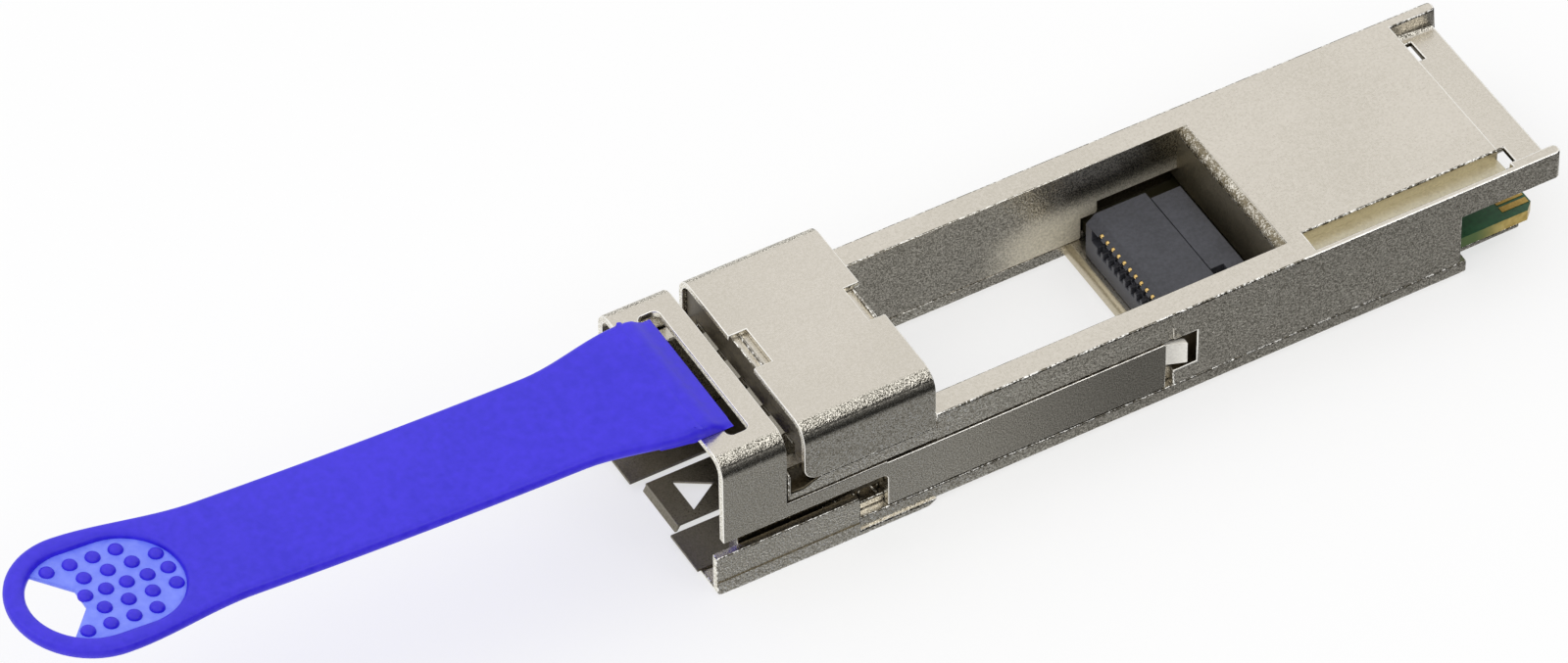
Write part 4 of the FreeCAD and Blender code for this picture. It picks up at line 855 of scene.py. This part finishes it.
rounded_copy("port_connector", "connector_moulding", MOULD_ROUND, connector_black, connector_black)
rounded_copy("connector_cover", "cover_moulding", MOULD_ROUND, connector_black, connector_black)
rounded_copy("upper_contacts", "contact_tips", TIP_BEND_ROUND, contact_gold, contact_gold)

# %% [markdown]
# ## The nodes that stay as they are
# The board, its parts and pads, the springs and the screws are small or hidden, and their CAD shapes are
# right. They could be copied as well, but a copy would add triangles that nobody sees. So they only take
# a finish.

# %% Finish the other nodes
FINISHES = {
    "ground_spring": spring_steel, "near_return_spring": spring_steel, "far_return_spring": spring_steel,
    "circuit_board": board_green, "top_edge_pads": pad_gold_painted_shade, "bottom_edge_pads": pad_gold_painted_shade,
    "lower_contacts": contact_gold, "memory_chip": chip_black, "power_switch": chip_black,
    "filter_inductors": ferrite_grey, "capacitors": ceramic_tan, "resistors": chip_black,
    "tray_screws": screw_steel,
}
for node, finish in FINISHES.items():
    nodes[node].data.materials.clear()
    nodes[node].data.materials.append(finish)
print("nodes finished in place:", len(FINISHES))

# %% [markdown]
# ## The pull tab's plan and bend
# The tab is one soft moulding: a strap that sags a little, a root moulded round the slider's front bar, and
# a grip with a thin dotted film inside a round rim. Seen from above, the strap narrows after the root and
# widens again to the grip. Seen from the side, it lies flat on the bridge and then follows one wide arc.
# Both could be drawn as curves, but two small functions of X are enough, and later steps can ask them.

# %% The strap's width and height
ROOT_HALF = 6.15 * MM
STRAP_HALF = 4.85 * MM
GRIP_RADIUS = 6.04 * MM
GRIP_CENTRE = -64.15 * MM
STRAP_THICK = 1.1 * MM
TAPER = (-18.6 * MM, -27.2 * MM)
FLARE = (-53.5 * MM, GRIP_CENTRE)
BRIDGE_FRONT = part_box("release_slider")[0].x
BRIDGE_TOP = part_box("release_slider")[1].z
BEND_START = Vector((BRIDGE_FRONT, BRIDGE_TOP + 0.02 * MM))
BEND_END = Vector((-71.2, 15.65)) * MM
BEND_RADIUS = 480 * MM


def ease(value, start, end):
    """0 to 1 between two places, flat at both ends."""
    share = min(1, max(0, (value - start) / (end - start)))
    return share * share * (3 - 2 * share)


def half_width(x):
    width = ROOT_HALF + (STRAP_HALF - ROOT_HALF) * ease(x, *TAPER)
    return width + (GRIP_RADIUS - STRAP_HALF) * ease(x, *FLARE)


chord = BEND_END - BEND_START
rise = math.sqrt(BEND_RADIUS ** 2 - (chord.length / 2) ** 2)
bend_centre = (BEND_START + BEND_END) / 2 + Vector((chord.y, -chord.x)).normalized() * rise


def strap_lift(x):
    """Height of the strap's underside, which lies flat on the bridge."""
    reach = min(x, BRIDGE_FRONT) - bend_centre.x
    return bend_centre.y - math.sqrt(BEND_RADIUS ** 2 - reach ** 2)


print("strap lifts in mm:", [round(strap_lift(x * MM) / MM, 2) for x in (-20, -45, -69)])

# %% [markdown]
# ## Lofting a soft edge
# Soft rubber has no flat edges, so a slab cut to the outline would look wrong. Each form of the tab is
# lofted instead: a loop of edges is extruded again and again, and each new loop is moved to the next step of
# a rounded profile. A number kept on every point tells which place of the outline it belongs to.

# %% Loft a loop through steps
def loft(name, count, place, steps):
    """Extrude a closed loop of points through the steps; place(step, index) gives each point."""
    deselect()
    bpy.ops.mesh.primitive_circle_add(vertices=count, fill_type="NOTHING")
    piece = bpy.context.object
    piece.name = name
    open_mesh(piece)
    bpy.ops.mesh.select_mode(type="EDGE")
    mesh = bmesh.from_edit_mesh(piece.data)
    station = mesh.verts.layers.int.new("station")
    mesh.verts.ensure_lookup_table()
    for index in range(count):
        mesh.verts[index][station] = index
        mesh.verts[index].co = place(steps[0], index)
    bmesh.update_edit_mesh(piece.data)
    bpy.ops.mesh.select_all(action="SELECT")
    for step in steps[1:]:
        bpy.ops.mesh.extrude_edges_move()
        mesh = bmesh.from_edit_mesh(piece.data)
        station = mesh.verts.layers.int["station"]
        for vertex in mesh.verts:
            if vertex.select:
                vertex.co = place(step, vertex[station])
        bmesh.update_edit_mesh(piece.data)
    close_mesh()
    return piece


def inward(points):
    """Unit normals that point into a loop drawn counterclockwise."""
    count = len(points)
    normals = []
    for index in range(count):
        along = points[(index + 1) % count] - points[index - 1]
        normals.append(Vector((-along.y, along.x)).normalized())
    return normals


def rounded_profile(thickness, radius, turns=5):
    """Steps (inset, height) of an edge rounded at its bottom and its top."""
    angles = [math.pi / 2 * turn / turns for turn in range(turns + 1)]
    low = [(radius * (1 - math.sin(a)), radius * (1 - math.cos(a))) for a in angles]
    high = [(inset, thickness - height) for inset, height in reversed(low)]
    return low + high


print("steps of a rounded edge:", len(rounded_profile(STRAP_THICK, STRAP_THICK / 2)))

# %% Join and close lofts
def join(pieces, name):
    """Join pieces into the first one, each part keeping its own finish."""
    deselect()
    for piece in pieces:
        piece.select_set(True)
    bpy.context.view_layer.objects.active = pieces[0]
    bpy.ops.object.join()
    pieces[0].name = name
    return pieces[0]


def fill_open_loops(piece, groups):
    """Fill each group of open loops with faces; a group is a test on a point."""
    open_mesh(piece)
    for in_group in groups:
        select_edges(piece, lambda edge: edge.is_boundary and all(in_group(v.co) for v in edge.verts))
        bpy.ops.mesh.fill()
    bpy.ops.mesh.select_all(action="SELECT")
    bpy.ops.mesh.normals_make_consistent(inside=False)
    close_mesh()


print("lofts can be joined and closed")

# %% [markdown]
# ## The strap and its rim
# The strap is a flat band with a round end, and the grip is an oval opening in that end. The opening could
# be cut by a boolean, but its edge would then be sharp. Here the outline and the oval are two lofts with
# the same rounded profile, and faces are filled in between them at the bottom and at the top.

# %% Model the strap and its rim
STRAP_REAR = BRIDGE_FRONT + 0.45 * MM
SIDE_STEP = 0.75 * MM
SIDE_POINTS = 61
END_STEPS = 40
RIM_ROUND = 0.5 * MM
OVAL_REAR = -57.05 * MM
OVAL_FRONT = -68.65 * MM
OVAL_HALF = 4.5 * MM
OVAL_POINTS = 72
HAIR = 0.01 * MM

far_side = [Vector((STRAP_REAR - SIDE_STEP * step, 0)) for step in range(SIDE_POINTS)]
for point in far_side:
    point.y = half_width(point.x)
end_angles = [math.pi / 2 + math.pi * step / END_STEPS for step in range(END_STEPS + 1)]
end = [Vector((GRIP_CENTRE + GRIP_RADIUS * math.cos(a), GRIP_RADIUS * math.sin(a))) for a in end_angles]
near_side = [Vector((point.x, -point.y)) for point in reversed(far_side)]
outline = far_side + end + near_side
outline_inward = inward(outline)


def oval(grow):
    """Points of the grip's oval, counterclockwise: two half circles moved apart, and grown by a little."""
    rear = OVAL_REAR - OVAL_HALF
    front = OVAL_FRONT + OVAL_HALF
    radius = OVAL_HALF + grow
    points = []
    for index in range(OVAL_POINTS):
        angle = 2 * math.pi * index / OVAL_POINTS
        middle = rear if math.cos(angle) > 0 else front
        points.append(Vector((middle + radius * math.cos(angle), radius * math.sin(angle))))
    return points


def strap_edge(step, index):
    inset, height = step
    point = outline[index] + outline_inward[index] * inset
    return Vector((point.x, point.y, height))


def grip_edge(step, index):
    inset, height = step
    point = oval(inset)[index]
    return Vector((point.x, point.y, height))


profile = rounded_profile(STRAP_THICK, RIM_ROUND)
strap = loft("strap_outer", len(outline), strap_edge, profile)
rim = loft("strap_inner", OVAL_POINTS, grip_edge, profile)
strap = join([strap, rim], "strap")
fill_open_loops(strap, [lambda co: co.z < HAIR, lambda co: co.z > STRAP_THICK - HAIR])
strap.data.materials.append(strap_blue)
print("strap faces:", len(strap.data.polygons))

# %% [markdown]
# ## The film and its dots
# Inside the rim lies a thin film with raised dots for the thumb, and a hole at its front end. The dots
# could be a bump in the finish, but they stand out in outline, so one dome is lofted and copied along five
# rows. The film's loop is the oval without its front end, closed by the hole's two rear corners.

# %% Model the film
FILM_LOW = 0.14 * MM
FILM_THICK = 0.45 * MM
FILM_ROUND = 0.12 * MM
FILM_IN_RIM = 0.25 * MM
FILM_TOP = FILM_LOW + FILM_THICK
HOLE_REAR = -64.85 * MM
HOLE_HALF = 0.95 * MM
HOLE_FLARE_X = -67.4 * MM

film_loop = [point for point in oval(FILM_IN_RIM) if point.x > HOLE_FLARE_X]
start = max(range(len(film_loop)), key=lambda i: (film_loop[i] - film_loop[i - 1]).length)
film_loop = film_loop[start:] + film_loop[:start]
film_loop += [Vector((HOLE_REAR, HOLE_HALF)), Vector((HOLE_REAR, -HOLE_HALF))]
film_inward = inward(film_loop)


def film_edge(step, index):
    inset, height = step
    point = film_loop[index] + film_inward[index] * inset
    return Vector((point.x, point.y, FILM_LOW + height))


film = loft("film", len(film_loop), film_edge, rounded_profile(FILM_THICK, FILM_ROUND, 2))
fill_open_loops(film, [lambda co: co.z < FILM_LOW + HAIR, lambda co: co.z > FILM_TOP - HAIR])
film.data.materials.append(film_blue)
print("film faces:", len(film.data.polygons))

# %% Model the dots
DOT_RADIUS = 0.58 * MM
DOT_HEIGHT = 0.38 * MM
DOT_FOOT = 0.1 * MM
DOT_POINTS = 16
DOT_TURNS = 6
DOT_ROWS = [(0.0, -64.45, -57.95, 5), (1.6, -63.75, -58.1, 4), (-1.6, -63.75, -58.1, 4),
            (3.2, -65.85, -60.45, 4), (-3.2, -65.85, -60.45, 4)]


def dot_edge(step, index):
    radius, height = step
    angle = 2 * math.pi * index / DOT_POINTS
    return Vector((radius * math.cos(angle), radius * math.sin(angle), height))


dome = [math.pi / 2 * turn / DOT_TURNS for turn in range(DOT_TURNS)]
dot_steps = [(DOT_RADIUS, FILM_TOP - DOT_FOOT)]
dot_steps += [(DOT_RADIUS * math.cos(a), FILM_TOP + DOT_HEIGHT * math.sin(a)) for a in dome]
dot = loft("dot", DOT_POINTS, dot_edge, dot_steps)
fill_open_loops(dot, [lambda co: co.z < FILM_TOP - DOT_FOOT / 2, lambda co: co.z > FILM_TOP + DOT_FOOT / 2])
dot.data.materials.append(strap_blue)
dots = []
for y, first, last, count in DOT_ROWS:
    for index in range(count):
        x = first + (last - first) * index / (count - 1)
        copy = bpy.data.objects.new("dot_copy", dot.data.copy())
        bpy.context.scene.collection.objects.link(copy)
        copy.data.transform(Matrix.Translation(Vector((x, y, 0)) * MM))
        dots.append(copy)
bpy.data.objects.remove(dot)
print("dots:", len(dots))

# %% [markdown]
# ## Bending the strap
# So far the strap is flat. A Simple Deform modifier could bend it, but it bends round the object's own
# origin, which is hard to match with the bridge. So the flat pieces are joined, cut across at many
# stations, and each point is lifted by the arc's height at its X.

# %% Bend the strap
BEND_STATIONS = 36

strap = join([strap, film] + dots, "strap_bent")
open_mesh(strap)
for index in range(1, BEND_STATIONS):
    cut = STRAP_REAR + (OVAL_FRONT - STRAP_REAR) * index / BEND_STATIONS
    bpy.ops.mesh.select_all(action="SELECT")
    bpy.ops.mesh.bisect(plane_co=(cut, 0, 0), plane_no=(1, 0, 0))
mesh = bmesh.from_edit_mesh(strap.data)
for vertex in mesh.verts:
    vertex.co.z += strap_lift(vertex.co.x)
bmesh.update_edit_mesh(strap.data)
close_mesh()
print("strap bent, faces:", len(strap.data.polygons))

# %% [markdown]
# ## The root round the bar
# The tab is moulded onto the slider: rubber goes through the bridge's slot, round its front bar and over it
# in a soft ridge. A boolean with the slider could shape it, but it could leave a ragged edge. So the ridge
# and the wrap are two sections lofted across the strap, and a third loft is the hole for the bar.

# %% Section of the root and the wrap
ROOT_TOP = [(-3.1, 0.6), (-2.1, 0.8), (-1.1, 1.0), (-0.1, 1.1), (0.6, 1.1), (1.05, 0.98), (1.4, 0.72),
            (1.75, 0.48), (2.05, 0.34), (2.35, 0.26), (2.6, 0.16), (2.68, 0.03)]
ROOT_SEAT = [(-0.7, 0.03), (-2.1, 0.05), (-3.1, 0.2)]
WRAP = [(2.5, 0.1), (2.72, 0.0), (2.78, -0.3), (2.78, -0.8), (2.65, -1.05), (2.3, -1.15), (0.0, -1.15),
        (-0.35, -1.05), (-0.46, -0.75), (-0.48, -0.25), (-0.6, 0.1)]
BAR = [(-0.02, -0.62), (1.92, -0.62), (1.92, 0.02), (-0.02, 0.02)]


def from_bar(points):
    """Points given in mm from the bar's upper front edge, along X and up."""
    return [Vector((BRIDGE_FRONT + x * MM, BRIDGE_TOP + z * MM)) for x, z in points]


root_loop = from_bar(list(reversed(ROOT_TOP + ROOT_SEAT)))
wrap_loop = from_bar(list(reversed(WRAP)))
wrap_inward = inward(wrap_loop)
bar_loop = from_bar(BAR)
print("section points:", len(root_loop), len(wrap_loop), len(bar_loop))

# %% Mould the root and the wrap
ROOT_END_ROUND = 0.5 * MM
ROOT_SHARE = 0.998
THINNEST = 0.02 * MM
SEAT_LOW, SEAT_HIGH = ROOT_SEAT[0], ROOT_SEAT[-1]
WRAP_END_ROUND = 0.15 * MM
WRAP_HALF = 5.3 * MM


def root_seat(x):
    """Height of the root's underside, which rises towards the strap."""
    share = ease(x, BRIDGE_FRONT + SEAT_LOW[0] * MM, BRIDGE_FRONT + SEAT_HIGH[0] * MM)
    return BRIDGE_TOP + (SEAT_LOW[1] + (SEAT_HIGH[1] - SEAT_LOW[1]) * share) * MM


def root_edge(step, index):
    """The section lowered towards its ends, so that they go on from the strap's round edges."""
    inset, along = step
    point = root_loop[index]
    seat = root_seat(point.x)
    full = max(point.y - seat, 0)
    height = max(full - inset, min(full, THINNEST))
    share = half_width(point.x) / ROOT_HALF * ROOT_SHARE
    return Vector((point.x, (along - ROOT_HALF) * share, seat + height))


def wrap_edge(step, index):
    inset, along = step
    point = wrap_loop[index] + wrap_inward[index] * inset
    return Vector((point.x, along - WRAP_HALF, point.y))


def bar_edge(step, index):
    return Vector((bar_loop[index].x, step, bar_loop[index].y))


def close_ends(piece, half):
    """Close the open ends of a loft that runs across the strap, and make it of the strap's rubber."""
    fill_open_loops(piece, [lambda co: co.y < -half * 0.7, lambda co: co.y > half * 0.7])
    piece.data.materials.append(strap_blue)


root = loft("root", len(root_loop), root_edge, rounded_profile(2 * ROOT_HALF, ROOT_END_ROUND))
close_ends(root, ROOT_HALF)
wrap = loft("wrap_outer", len(wrap_loop), wrap_edge, rounded_profile(2 * WRAP_HALF, WRAP_END_ROUND))
wrap_hole = loft("wrap_inner", len(bar_loop), bar_edge, [-WRAP_HALF, WRAP_HALF])
wrap = join([wrap, wrap_hole], "wrap")
close_ends(wrap, WRAP_HALF)
print("root faces:", len(root.data.polygons), "wrap faces:", len(wrap.data.polygons))

# %% [markdown]
# ## One pull tab
# The real tab leaves its mould as one piece. The strap, the root and the wrap could stay three objects, but
# they stand for one solid, so they are joined, shaded smooth and sent along with the release.

# %% Join the pull tab
SMOOTH_RUBBER = math.radians(50)

pull_tab = join([strap, root, wrap], "pull_tab_moulding")
deselect()
pull_tab.select_set(True)
bpy.context.view_layer.objects.active = pull_tab
bpy.ops.object.shade_smooth_by_angle(angle=SMOOTH_RUBBER)
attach(pull_tab, body_of("pull_tab"))
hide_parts("pull_tab")
print("pull tab faces:", len(pull_tab.data.polygons))
